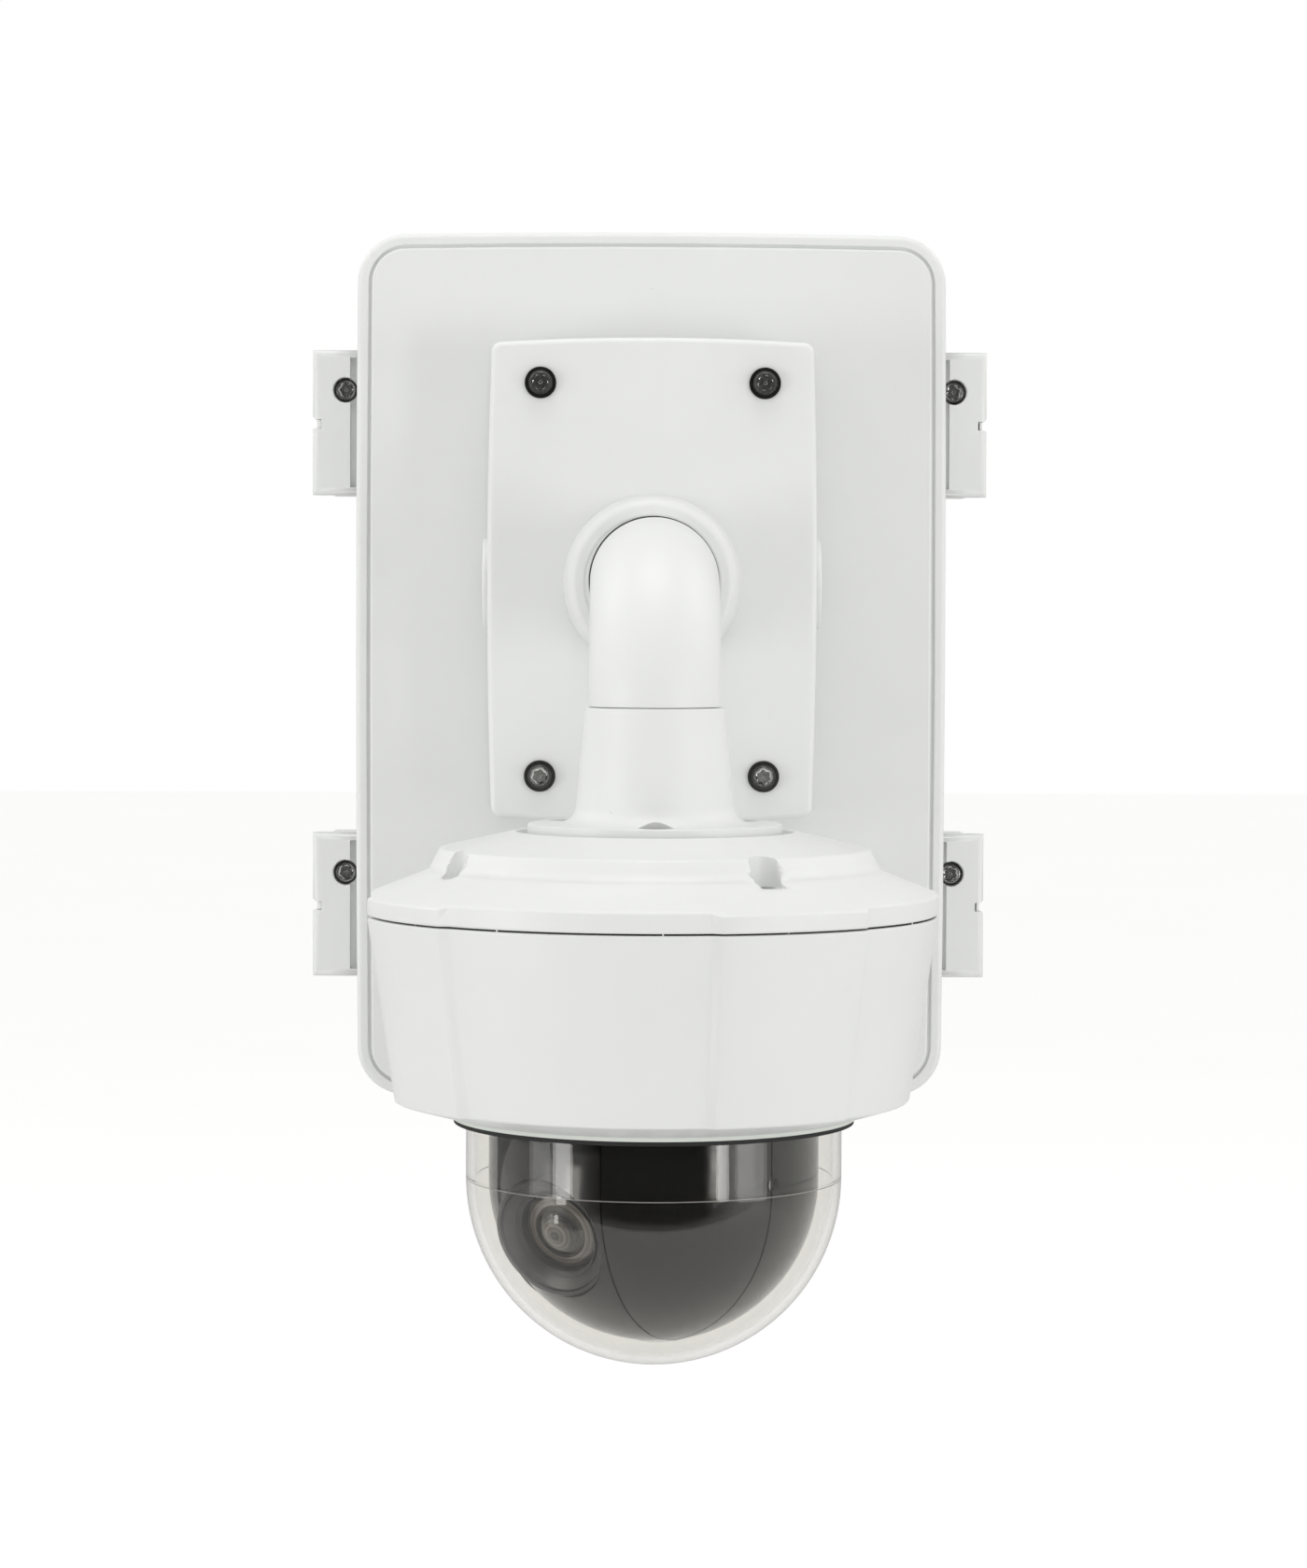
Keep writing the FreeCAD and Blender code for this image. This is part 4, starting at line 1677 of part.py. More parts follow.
def draw_ball_half(sketch, radius, top):
    reach = value(radius)
    circle = Part.Circle(FreeCAD.Vector(), FreeCAD.Vector(0, 0, 1), reach)
    corner = FreeCAD.Vector(reach, value(top), 0)
    sketch.addGeometry([
        Part.ArcOfCircle(circle, 1.5 * math.pi, 2 * math.pi),
        Part.LineSegment(FreeCAD.Vector(reach, 0, 0), corner),
        Part.LineSegment(corner, FreeCAD.Vector(0, value(top), 0)),
        Part.LineSegment(FreeCAD.Vector(0, value(top), 0), FreeCAD.Vector(0, -reach, 0))], False)
    for i in range(4):
        sketch.addConstraint(Sketcher.Constraint("Coincident", i, 2, (i + 1) % 4, 1))
    fix_point(sketch, 0, 3, "0", "0")
    fix_point(sketch, 0, 1, "0", "-%s" % radius)
    constrain(sketch, "DistanceY", (-1, 1, 0, 2), "0")
    fix_point(sketch, 2, 1, radius, top)
    fix_point(sketch, 3, 1, "0", top)


def draw_arch(sketch, radius, top):
    reach = value(radius)
    circle = Part.Circle(FreeCAD.Vector(), FreeCAD.Vector(0, 0, 1), reach)
    right = FreeCAD.Vector(reach, value(top), 0)
    left = FreeCAD.Vector(-reach, value(top), 0)
    sketch.addGeometry([
        Part.ArcOfCircle(circle, math.pi, 2 * math.pi),
        Part.LineSegment(FreeCAD.Vector(reach, 0, 0), right),
        Part.LineSegment(right, left),
        Part.LineSegment(left, FreeCAD.Vector(-reach, 0, 0))], False)
    for i in range(4):
        sketch.addConstraint(Sketcher.Constraint("Coincident", i, 2, (i + 1) % 4, 1))
    fix_point(sketch, 0, 3, "0", "0")
    constrain(sketch, "Radius", (0,), radius)
    constrain(sketch, "DistanceY", (-1, 1, 0, 1), "0")
    constrain(sketch, "DistanceY", (-1, 1, 0, 2), "0")
    fix_point(sketch, 2, 1, radius, top)
    fix_point(sketch, 3, 1, "-" + radius, top)


def make_cap_screws():
    body = head_body("cap_screws")
    for side in SIDES:
        for start, radius, length in (
                ("sizes.cap_screw_seat", "2 * sizes.cap_screw_radius", "sizes.cap_screw_radius"),
                ("(sizes.cap_screw_seat - 4)", "sizes.cap_screw_radius", "4")):
            sketch = sketch_on(body, "YZ_Plane", "%d * %s" % (side, start))
            draw_circle(sketch, "-sizes.cap_screw_forward", "sizes.cap_screw_level", radius)
            pad(body, sketch, length, backwards=side < 0)


def along_tilt_axis(body, start, length, discs, side=1):
    sketch = sketch_on(body, "YZ_Plane", start)
    for up, radius in discs:
        draw_circle(sketch, "0", up, radius)
    return pad(body, sketch, length, backwards=side < 0)


def make_tilt_drive():
    make_side_cap("right_cap", 1, "(sizes.drum_right + sizes.drum_gap)")
    make_side_cap("left_cap", -1, "(sizes.drum_left + sizes.drum_gap)")
    make_cap_screws()
    inside = "(sizes.drum_right + sizes.drum_gap + sizes.head_wall)"
    body = head_body("tilt_motor")
    along_tilt_axis(body, inside, "sizes.tilt_motor_length", [
        ("sizes.tilt_motor_rise", "sizes.tilt_motor_radius"),
        ("sizes.tilt_motor_rise", "sizes.motor_shaft_radius + sizes.axle_fit")])
    body = head_body("tilt_motor_pulley")
    along_tilt_axis(body, "sizes.tilt_pulley_place", "sizes.pulley_thick - 1",
                    [("sizes.tilt_motor_rise", "sizes.tilt_motor_pulley_radius")])
    shaft_start = "%s + 4" % inside
    along_tilt_axis(body, shaft_start, "sizes.tilt_pulley_place - (%s)" % shaft_start,
                    [("sizes.tilt_motor_rise", "sizes.motor_shaft_radius")])
    body = head_body("tilt_belt")
    sketch = sketch_on(body, "YZ_Plane", "sizes.tilt_pulley_place + 0.5")
    for extra in ("sizes.belt_gap", "(sizes.belt_gap + sizes.belt_thick)"):
        draw_belt(sketch, "(sizes.tilt_pulley_radius + %s)" % extra,
                  "(sizes.tilt_motor_pulley_radius + %s)" % extra, "sizes.tilt_motor_rise", 1)
    pad(body, sketch, "sizes.belt_width - 1")


# Tilting drum with the lens. Local -Y is the line of sight.
DRUM_CENTRE = "((sizes.drum_right - sizes.drum_left) / 2)"
# The lens ring reaches out as far as the dome allows at its outer edge
LENS_FRONT = "sqrt((sizes.dome_radius - sizes.dome_wall - sizes.lens_clear)^2 - (sizes.lens_radius - %s)^2)" % (
    DRUM_CENTRE)
BARREL_FRONT = "(%s - sizes.barrel_sunk)" % LENS_FRONT


def make_tilt_drum():
    body = head_body("tilt_drum", tilted=True)
    sketch = sketch_on(body, "XY_Plane")
    draw_drum_section(sketch)
    turn(body, sketch, axis="H_Axis")
    sketch = sketch_on(body, "XZ_Plane", "sizes.drum_radius + sizes.cut_past")
    draw_circle(sketch, DRUM_CENTRE, "0", "sizes.lens_radius + sizes.lens_fit")
    pocket(body, sketch, "sizes.drum_radius + sizes.cut_past")

    body = head_body("tilt_axle", tilted=True)
    right = "(sizes.drum_right - sizes.head_wall)"
    left = "(sizes.drum_left - sizes.head_wall)"
    along_tilt_axis(body, right, "sizes.tilt_pulley_place + sizes.pulley_thick - %s" % right,
                    [("0", "sizes.axle_radius")])
    along_tilt_axis(body, "-" + left, "2 * sizes.head_wall + sizes.drum_gap + sizes.axle_bite",
                    [("0", "sizes.axle_radius")], -1)
    body = head_body("tilt_pulley", tilted=True)
    along_tilt_axis(body, "sizes.tilt_pulley_place", "sizes.pulley_thick - 1",
                    [("0", "sizes.tilt_pulley_radius"), ("0", "sizes.axle_radius")])

    body = head_body("camera_block", tilted=True)
    sketch = sketch_on(body, "XZ_Plane", "-sizes.block_back")
    draw_rectangle(sketch, "-" + left, right, "-sizes.block_height / 2", "sizes.block_height / 2")
    pad(body, sketch, "sizes.block_back + sizes.block_front")
    body = head_body("sensor_board", tilted=True)
    sketch = sketch_on(body, "XZ_Plane", "-sizes.block_back - sizes.sensor_thick")
    draw_rectangle(sketch, "%s - 16" % DRUM_CENTRE, "%s + 16" % DRUM_CENTRE,
                   "-sizes.block_height / 2 + 1", "sizes.block_height / 2 - 1")
    pad(body, sketch, "sizes.sensor_thick")

    lens_part("lens_barrel", [
        ("0", "sizes.block_front"), ("sizes.barrel_radius", "sizes.block_front"),
        ("sizes.barrel_radius", BARREL_FRONT), ("0", BARREL_FRONT)])
    front = LENS_FRONT
    lens_part("lens_bezel", [
        ("sizes.barrel_radius + 0.1", "%s - 5" % BARREL_FRONT), ("sizes.lens_radius", "%s - 5" % BARREL_FRONT),
        ("sizes.lens_radius", "%s - 0.6" % front), ("sizes.lens_radius - 0.6", front),
        ("sizes.lens_radius - 1.8", front), ("sizes.lens_radius - 2.2", "%s - 1.2" % front),
        ("sizes.glass_radius + 1.4", "%s - 3" % front), ("sizes.glass_radius + 1.2", "%s - 4.6" % front),
        ("sizes.glass_radius + 0.1", "%s - 4.6" % front),
        ("sizes.glass_radius + 0.1", "%s + 0.1" % BARREL_FRONT),
        ("sizes.barrel_radius + 0.1", "%s + 0.1" % BARREL_FRONT)])
    body = head_body("lens_glass", tilted=True)
    sketch = sketch_on(body, "XY_Plane")
    draw_lens(sketch)
    turn(body, sketch, axis="Axis0")


def draw_drum_section(sketch):
    outer = "sizes.drum_radius"
    inner = "(sizes.drum_radius - sizes.head_wall)"
    right = "sizes.drum_right"
    left = "sizes.drum_left"
    bore = "sizes.axle_radius"
    near_right = "(%s - sizes.head_wall)" % right
    near_left = "(%s - sizes.head_wall)" % left
    axis = FreeCAD.Vector(0, 0, 1)

    def reach(radius, across):
        return "sqrt(%s^2 - %s^2)" % (radius, across)

    def point(across, up):
        return FreeCAD.Vector(value(across), value(up), 0)

    big, small = value(outer), value(inner)
    big_start, big_end = math.acos(value(right) / big), math.pi - math.acos(value(left) / big)
    small_start, small_end = math.acos(value(near_right) / small), math.pi - math.acos(value(near_left) / small)
    corners = [
        ("-" + left, reach(outer, left)), ("-" + left, bore), ("-" + near_left, bore),
        ("-" + near_left, reach(inner, near_left)), (near_right, reach(inner, near_right)), (near_right, bore),
        (right, bore), (right, reach(outer, right))]
    points = [point(*corner) for corner in corners]
    sketch.addGeometry([
        Part.ArcOfCircle(Part.Circle(FreeCAD.Vector(), axis, big), big_start, big_end),
        Part.LineSegment(points[0], points[1]), Part.LineSegment(points[1], points[2]),
        Part.LineSegment(points[2], points[3]),
        Part.ArcOfCircle(Part.Circle(FreeCAD.Vector(), axis, small), small_start, small_end),
        Part.LineSegment(points[4], points[5]), Part.LineSegment(points[5], points[6]),
        Part.LineSegment(points[6], points[7])], False)
    for join in ((0, 2, 1, 1), (1, 2, 2, 1), (2, 2, 3, 1), (3, 2, 4, 2), (4, 1, 5, 1), (5, 2, 6, 1),
                 (6, 2, 7, 1), (7, 2, 0, 1)):
        sketch.addConstraint(Sketcher.Constraint("Coincident", *join))
    fix_point(sketch, 0, 3, "0", "0")
    fix_point(sketch, 4, 3, "0", "0")
    constrain(sketch, "Radius", (0,), outer)
    constrain(sketch, "Radius", (4,), inner)
    constrain(sketch, "DistanceX", (-1, 1, 0, 2), "-" + left)
    constrain(sketch, "DistanceX", (-1, 1, 0, 1), right)
    constrain(sketch, "DistanceX", (-1, 1, 4, 2), "-" + near_left)
    constrain(sketch, "DistanceX", (-1, 1, 4, 1), near_right)
    fix_point(sketch, 2, 1, *corners[1])
    fix_point(sketch, 3, 1, *corners[2])
    fix_point(sketch, 6, 1, *corners[5])
    fix_point(sketch, 7, 1, *corners[6])


# Part turned about the line of sight, from pairs of radius and distance forward of the ball's centre
def lens_part(label, profile):
    body = head_body(label, tilted=True)
    sketch = sketch_on(body, "XY_Plane")
    draw_polygon(sketch, [("%s + %s" % (DRUM_CENTRE, radius), "-(%s)" % forward)
                          for radius, forward in profile])
    add_lens_axis(sketch)
    turn(body, sketch, axis="Axis0")
    return body


def add_lens_axis(sketch):
    axis = sketch.addGeometry([Part.LineSegment(
        FreeCAD.Vector(value(DRUM_CENTRE), 0, 0), FreeCAD.Vector(value(DRUM_CENTRE), 10, 0))], True)[0]
    fix_point(sketch, axis, 1, DRUM_CENTRE, "0")
    fix_point(sketch, axis, 2, DRUM_CENTRE, "10")


def draw_lens(sketch):
    back = "(%s + 0.3)" % BARREL_FRONT
    edge = "(%s + 1.8)" % BARREL_FRONT
    radius = "sizes.glass_radius"
    bulge = 3.2
    reach = value(radius)
    curve = "((%s^2 + %.1f^2) / (2 * %.1f))" % (radius, bulge, bulge)
    curve_radius = value(curve)
    centre = FreeCAD.Vector(value(DRUM_CENTRE), -(value(edge) + bulge - curve_radius), 0)
    lean = math.asin(reach / curve_radius)
    tip = FreeCAD.Vector(centre.x, centre.y - curve_radius, 0)
    rim = FreeCAD.Vector(centre.x + reach, -value(edge), 0)
    rim_back = FreeCAD.Vector(centre.x + reach, -value(back), 0)
    middle_back = FreeCAD.Vector(centre.x, -value(back), 0)
    circle = Part.Circle(centre, FreeCAD.Vector(0, 0, 1), curve_radius)
    down = 1.5 * math.pi
    sketch.addGeometry([
        Part.ArcOfCircle(circle, down, down + lean), Part.LineSegment(rim, rim_back),
        Part.LineSegment(rim_back, middle_back), Part.LineSegment(middle_back, tip)], False)
    for i in range(4):
        sketch.addConstraint(Sketcher.Constraint("Coincident", i, 2, (i + 1) % 4, 1))
    fix_point(sketch, 0, 3, DRUM_CENTRE, "-(%s + %.1f - %s)" % (edge, bulge, curve))
    fix_point(sketch, 0, 1, DRUM_CENTRE, "-(%s + %.1f)" % (edge, bulge))
    constrain(sketch, "DistanceX", (-1, 1, 0, 2), "%s + %s" % (DRUM_CENTRE, radius))
    fix_point(sketch, 2, 1, "%s + %s" % (DRUM_CENTRE, radius), "-" + back)
    fix_point(sketch, 3, 1, DRUM_CENTRE, "-" + back)
    axis = sketch.addGeometry([Part.LineSegment(middle_back, middle_back + FreeCAD.Vector(0, 10, 0))], True)[0]
    fix_point(sketch, axis, 1, DRUM_CENTRE, "-" + back)
    fix_point(sketch, axis, 2, DRUM_CENTRE, "-%s + 10" % back)


make_cabinet_body()
make_body_gasket()
make_mounting_plate()
make_din_rail()
make_power_supply()
make_circuit_breaker()
make_media_converter()
make_terminal_block()
make_cable_glands()
make_door()
make_door_hardware()
make_bracket()
make_bracket_arm()
make_pendant_adapter()
make_top_cover()
make_lower_housing()
make_cover_screws()
make_dome()
make_chassis()
make_turntable()
make_tilt_drive()
make_tilt_drum()
doc.recompute()

# Every shape is checked before it is written
for item in doc.Objects:
    if "Invalid" in item.State or "Error" in item.State:
        raise RuntimeError("%s is not right: %s" % (item.Label, item.State))
os.makedirs("parts", exist_ok=True)
for item in parts:
    shape = item.Shape
    if shape.isNull() or not shape.isValid() or shape.Volume <= 0:
        raise RuntimeError("%s has no valid shape" % item.Label)
    shape.exportStep("parts/%s.step" % item.Label)
    print(item.Label, len(shape.Solids), "solids, %.1f cm3" % (shape.Volume / 1000))
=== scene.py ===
# %% [markdown]
# # A surveillance cabinet with a hanging dome camera
#
# The solids come from the CAD model, as a fixed frame. This file gives them their finish: soft cast edges,
# powder coat, steel, rubber, clear plastic, and the small fasteners that the photograph shows. Everything
# is in metres, in the same frame as the CAD: +Z up, -Y towards the viewer, the wall at Y = 0.

# %% Load the frame
import json
import math
import bmesh
import bpy
from mathutils import Matrix, Vector
from mathutils.bvhtree import BVHTree
from mathutils.kdtree import KDTree


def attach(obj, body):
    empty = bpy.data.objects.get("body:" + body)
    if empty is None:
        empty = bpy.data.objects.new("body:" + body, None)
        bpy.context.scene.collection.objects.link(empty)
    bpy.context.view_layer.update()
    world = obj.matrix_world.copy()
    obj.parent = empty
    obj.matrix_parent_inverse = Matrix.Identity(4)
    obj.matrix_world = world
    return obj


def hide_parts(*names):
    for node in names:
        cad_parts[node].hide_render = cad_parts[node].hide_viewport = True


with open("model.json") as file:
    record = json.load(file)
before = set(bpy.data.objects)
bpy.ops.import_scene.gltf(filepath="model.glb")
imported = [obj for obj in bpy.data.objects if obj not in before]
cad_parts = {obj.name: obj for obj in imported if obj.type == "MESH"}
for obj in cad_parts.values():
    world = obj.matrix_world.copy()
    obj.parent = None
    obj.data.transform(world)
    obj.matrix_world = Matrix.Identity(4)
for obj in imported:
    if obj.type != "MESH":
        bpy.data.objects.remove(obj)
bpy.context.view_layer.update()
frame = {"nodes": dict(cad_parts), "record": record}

NODES = frame["nodes"]
MM = 0.001

# %% [markdown]
# ## The camera
#
# The photograph was taken from about 1.8 m with a long lens. Its eye level is a little above the middle of
# the door, and it looks slightly down. The focal length follows from how much larger the near dome camera
# looks than the far cabinet. The angles are typed in as they were measured.

# %% Camera
SENSOR = 36.0
LENS = 91.93
EYE = Vector((-16, -1788, 20.6)) * MM
LOOK_DOWN = math.radians(2.4)
LOOK_RIGHT = math.radians(0.61)
LEAN = math.radians(0.2)

camera = bpy.data.objects.new("photo_camera", bpy.data.cameras.new("photo_camera"))
camera.data.sensor_width = SENSOR
camera.data.lens = LENS
camera.data.clip_end = 50
turn = Matrix.Rotation(-LOOK_RIGHT, 4, "Z") @ Matrix.Rotation(math.pi / 2 - LOOK_DOWN, 4, "X")
camera.matrix_world = Matrix.Translation(EYE) @ turn @ Matrix.Rotation(LEAN, 4, "Z")
bpy.context.scene.collection.objects.link(camera)
bpy.context.scene.camera = camera
print("lens", LENS, "mm from", round(-EYE.y, 2), "m")

# %% [markdown]
# ## Small helpers for materials
#
# Colours are written as they look on a screen, in hex, and one function turns them into the linear numbers
# that the shader wants. A second one adds a node, sets its inputs and links it, so that each material reads
# as a list.

# %% Colour and node helpers
def linear(code):
    levels = [int(code[i:i + 2], 16) / 255 for i in (1, 3, 5)]
    return [v / 12.92 if v <= 0.04045 else ((v + 0.055) / 1.055) ** 2.4 for v in levels] + [1.0]


def add(tree, kind, links=(), inputs=(), **settings):
    node = tree.nodes.new(kind)
    for name, value in settings.items():
        setattr(node, name, value)
    for name, value in dict(inputs).items():
        node.inputs[name].default_value = value
    for name, source in dict(links).items():
        tree.links.new(source, node.inputs[name])
    return node


# %% A new material
def new_material(name, roughness, metallic=0.0, **sockets):
    made = bpy.data.materials.new(name)
    made.use_nodes = True
    tree = made.node_tree
    shader = tree.nodes["Principled BSDF"]
    shader.inputs["Roughness"].default_value = roughness
    shader.inputs["Metallic"].default_value = metallic
    for socket, value in sockets.items():
        shader.inputs[socket.replace("_", " ")].default_value = value
    place = add(tree, "ShaderNodeTexCoord").outputs["Object"]
    return made, tree, shader, place


# %% [markdown]
# ## Mottling and bump
#
# Nearly every finish here is one colour that wanders a little, over a surface that is not quite smooth. Two
# helpers do that: one mixes two near colours by a soft noise, and one raises the surface by another noise.
# A third lets the roughness follow that second noise. The size of a noise is given in millimetres, from the
# grain that the real finish has. A texture's scale is how often it repeats in a metre, so it is 1000 over
# that size.

# %% Mottle and grain
def mottle(tree, shader, place, low, high, grain_mm):
    noise = add(tree, "ShaderNodeTexNoise", {"Vector": place}, {"Scale": 1000 / grain_mm, "Detail": 3})
    mixed = add(tree, "ShaderNodeMix", {0: noise.outputs["Fac"]}, data_type="RGBA")
    mixed.inputs[6].default_value = linear(low)
    mixed.inputs[7].default_value = linear(high)
    tree.links.new(mixed.outputs[2], shader.inputs["Base Color"])
    return mixed


def grain(tree, shader, place, grain_mm, height_mm, strength=0.5):
    noise = add(tree, "ShaderNodeTexNoise", {"Vector": place}, {"Scale": 1000 / grain_mm, "Detail": 2})
    bump = add(tree, "ShaderNodeBump", {"Height": noise.outputs["Fac"]},
               {"Strength": strength, "Distance": height_mm * MM})
    tree.links.new(bump.outputs["Normal"], shader.inputs["Normal"])
    return noise


def rough_wander(tree, shader, noise, low, high):
    spread = add(tree, "ShaderNodeMapRange", {"Value": noise.outputs["Fac"]},
                 {"From Min": 0.3, "From Max": 0.7, "To Min": low, "To Max": high})
    tree.links.new(spread.outputs["Result"], shader.inputs["Roughness"])


# %% [markdown]
# ## White powder coat
#
# The castings are aluminium with a baked polyester powder coat. Powder melts into a satin skin with a
# slight orange peel, about 2 mm from crest to crest. Here and there a speck of dust has been baked in: one
# in every few square decimetres, up to 0.4 mm wide. A cell pattern makes them, with one point per 14 mm
# cell: a speck shows where that point lies at the surface and the cell's random colour is high.

# %% Powder coat
CELL_MM = 14
SPECK_REACH = 0.016
SPECK_SHARE = 0.14
powder_coat, tree, shader, place = new_material("powder_coat_white", 0.42, Specular_IOR_Level=0.5)
skin = mottle(tree, shader, place, "#e3e4e2", "#e9eae8", 38)
cells = add(tree, "ShaderNodeTexVoronoi", {"Vector": place}, {"Scale": 1000 / CELL_MM})
near = add(tree, "ShaderNodeMath", {0: cells.outputs["Distance"]}, {1: SPECK_REACH},
           operation="LESS_THAN")
pick = add(tree, "ShaderNodeSeparateColor", {"Color": cells.outputs["Color"]})
rare = add(tree, "ShaderNodeMath", {0: pick.outputs["Red"]}, {1: 1 - SPECK_SHARE},
           operation="GREATER_THAN")
speck = add(tree, "ShaderNodeMath", {0: near.outputs[0], 1: rare.outputs[0]},
            operation="MULTIPLY")
dusty = add(tree, "ShaderNodeMix", {0: speck.outputs[0], 6: skin.outputs[2]}, data_type="RGBA")
dusty.inputs[7].default_value = linear("#a9a7a2")
tree.links.new(dusty.outputs[2], shader.inputs["Base Color"])
peel = grain(tree, shader, place, 2.0, 0.02, 0.35)
rough_wander(tree, shader, peel, 0.36, 0.50)
print("powder coat with", len(tree.nodes), "nodes")

# %% [markdown]
# ## Moulded plastics
#
# The conduit plugs, the clips on the rail and the camera's turning head are injection moulded. Moulded
# plastic has an even colour with a very slight flow mottle, and a fine spark-eroded grain from the mould.
# The head is a dark satin ABS, smooth enough to mirror the lamps as streaks.

# %% Plastics
def moulded(name, low, high, roughness, grain_mm=0.9, height_mm=0.012):
    made, tree, shader, place = new_material(name, roughness)
    mottle(tree, shader, place, low, high, 25)
    noise = grain(tree, shader, place, grain_mm, height_mm, 0.4)
    rough_wander(tree, shader, noise, roughness - 0.04, roughness + 0.05)
    return made


plug_plastic = moulded("moulded_plastic_white", "#e4e5e3", "#eaebe9", 0.48)
head_plastic = moulded("satin_abs_black", "#1c1c1b", "#232321", 0.13, 1.5, 0.0015)
head_plastic.node_tree.nodes["Principled BSDF"].inputs["Specular IOR Level"].default_value = 0.55
grey_plastic = moulded("moulded_abs_grey", "#8d9092", "#96999b", 0.5)
pale_grey_plastic = moulded("moulded_abs_pale_grey", "#c6c8c8", "#cfd1d1", 0.5)
beige_polyamide = moulded("polyamide_beige", "#b9af95", "#c2b8a0", 0.55)
black_nylon = moulded("glass_filled_nylon_black", "#1e1e1e", "#2a2a29", 0.55)

# %% [markdown]
# ## Rubber seals
#
# The seals are moulded EPDM rubber: nearly black, quite matt, with a bloom that leaves paler clouds. The
# dome's outer ring is a translucent grey-green silicone, so it gets a little light through it.

# %% Rubber and silicone
rubber = moulded("epdm_rubber_black", "#1b1b1b", "#2a2a29", 0.75, 0.7, 0.02)
silicone, tree, shader, place = new_material("silicone_pale_green", 0.45,
                                             Subsurface_Weight=0.1, Subsurface_Scale=0.002)
mottle(tree, shader, place, "#d2d6cf", "#daded7", 12)
rough_wander(tree, shader, grain(tree, shader, place, 1.2, 0.01, 0.3), 0.42, 0.52)

# %% [markdown]
# ## Steel, zinc and aluminium
#
# The screws are stainless steel, turned on a lathe: a metal colour, medium roughness and a very fine grain.
# A lighter, smoother copy of that steel lines the mouth of each socket: a painted highlight. The washers are
# black zinc, and the outsides of the large screw heads get it too, as painted shade round each head. The
# sheet inside is zinc plated, and zinc sets in flakes, the spangle, about 6 mm wide. The chassis is cast
# aluminium with a blasted skin.

# %% Metals
def metal(name, low, high, roughness, grain_mm, height_mm, spread=0.08):
    made, tree, shader, place = new_material(name, roughness, 1.0)
    mottle(tree, shader, place, low, high, grain_mm * 3)
    noise = grain(tree, shader, place, grain_mm, height_mm, 0.4)
    rough_wander(tree, shader, noise, roughness - spread, roughness + spread)
    return made


stainless = metal("stainless_steel_turned", "#b9b9b6", "#c9c9c6", 0.28, 0.35, 0.006)
# A lighter copy of the turned steel, for the mouths of the sockets: a painted highlight.
socket_highlight_steel = metal("stainless_steel_painted_highlight", "#e2e2df", "#f0f0ed", 0.16, 0.5, 0.003, 0.04)
# Black zinc is the washers' own finish, and painted shade on the outsides of the screw heads.
black_zinc_and_shade = metal("black_zinc_plate_and_painted_shade", "#4a4a49", "#5b5b59", 0.42, 0.5, 0.01)
cast_aluminium = metal("cast_aluminium_blasted", "#a9abad", "#b7b9ba", 0.5, 0.8, 0.04)

# %% Zinc sheet
zinc_sheet, tree, shader, place = new_material("zinc_plated_sheet", 0.5, 1.0)
SPANGLE_MM = 6
flakes = add(tree, "ShaderNodeTexVoronoi", {"Vector": place}, {"Scale": 1000 / SPANGLE_MM})
tone = add(tree, "ShaderNodeSeparateColor", {"Color": flakes.outputs["Color"]})
spangle = add(tree, "ShaderNodeMix", {0: tone.outputs["Red"]}, data_type="RGBA")
spangle.inputs[6].default_value = linear("#d0d3d6")
spangle.inputs[7].default_value = linear("#dde0e2")
tree.links.new(spangle.outputs[2], shader.inputs["Base Color"])
sheen = add(tree, "ShaderNodeMapRange", {"Value": tone.outputs["Green"]},
            {"To Min": 0.48, "To Max": 0.60})
tree.links.new(sheen.outputs["Result"], shader.inputs["Roughness"])
print("metals ready")

# %% [markdown]
# ## Clear dome
#
# The dome is polished polycarbonate, clear with a faint warm grey. It mirrors less than window glass here,
# because such domes are coated, so its index is set low. Noise far too fine to see would only blur it, so
# its surface wanders by a broad, very shallow ripple, as a moulded dome's does.

# %% Clear dome
clear_dome, tree, shader, place = new_material("polycarbonate_clear", 0.015,
                                               Transmission_Weight=1.0, IOR=1.38)
mottle(tree, shader, place, "#ecebe7", "#f0eeeb", 60)
grain(tree, shader, place, 45, 0.02, 0.05)

# %% [markdown]
# ## The lens and its rings
#
# The lens looks down and to the left, so its axis is worked out first: the pan turns it to the left, the
# tilt lowers it. Everything turned on that axis shows rings. The black bezel has tool marks 0.9 mm apart.
# Behind the front glass, the edges of the inner elements show as brownish rings, so the glass gets rings of
# two browns. A Mapping node of the Texture type brings the place into the lens's own frame, where a wave
# texture draws rings round Z: its period is 2 pi / (20 * scale).

# %% Axis of the lens
PAN = math.radians(-32)
TILT = math.radians(18)
TILT_AXIS = Vector((math.cos(PAN), math.sin(PAN), 0))
FORWARD = Vector((math.sin(PAN) * math.cos(TILT), -math.cos(PAN) * math.cos(TILT), -math.sin(TILT)))
HEAD_MIDDLE = Vector((0, -336, -183)) * MM
LENS_MIDDLE = HEAD_MIDDLE - 10 * MM * TILT_AXIS
LENS_TURN = FORWARD.to_track_quat("Z", "Y").to_matrix().to_4x4()
print("the lens looks along", [round(v, 3) for v in FORWARD])


# %% Rings round the lens
def lens_rings(tree, place, period_mm, profile):
    own = add(tree, "ShaderNodeMapping", {"Vector": place},
              {"Location": LENS_MIDDLE, "Rotation": LENS_TURN.to_euler()}, vector_type="TEXTURE")
    return add(tree, "ShaderNodeTexWave", {"Vector": own.outputs[0]},
               {"Scale": 2 * math.pi / (20 * period_mm * MM), "Distortion": 0.0, "Detail": 0.0},
               wave_type="RINGS", rings_direction="Z", wave_profile=profile)


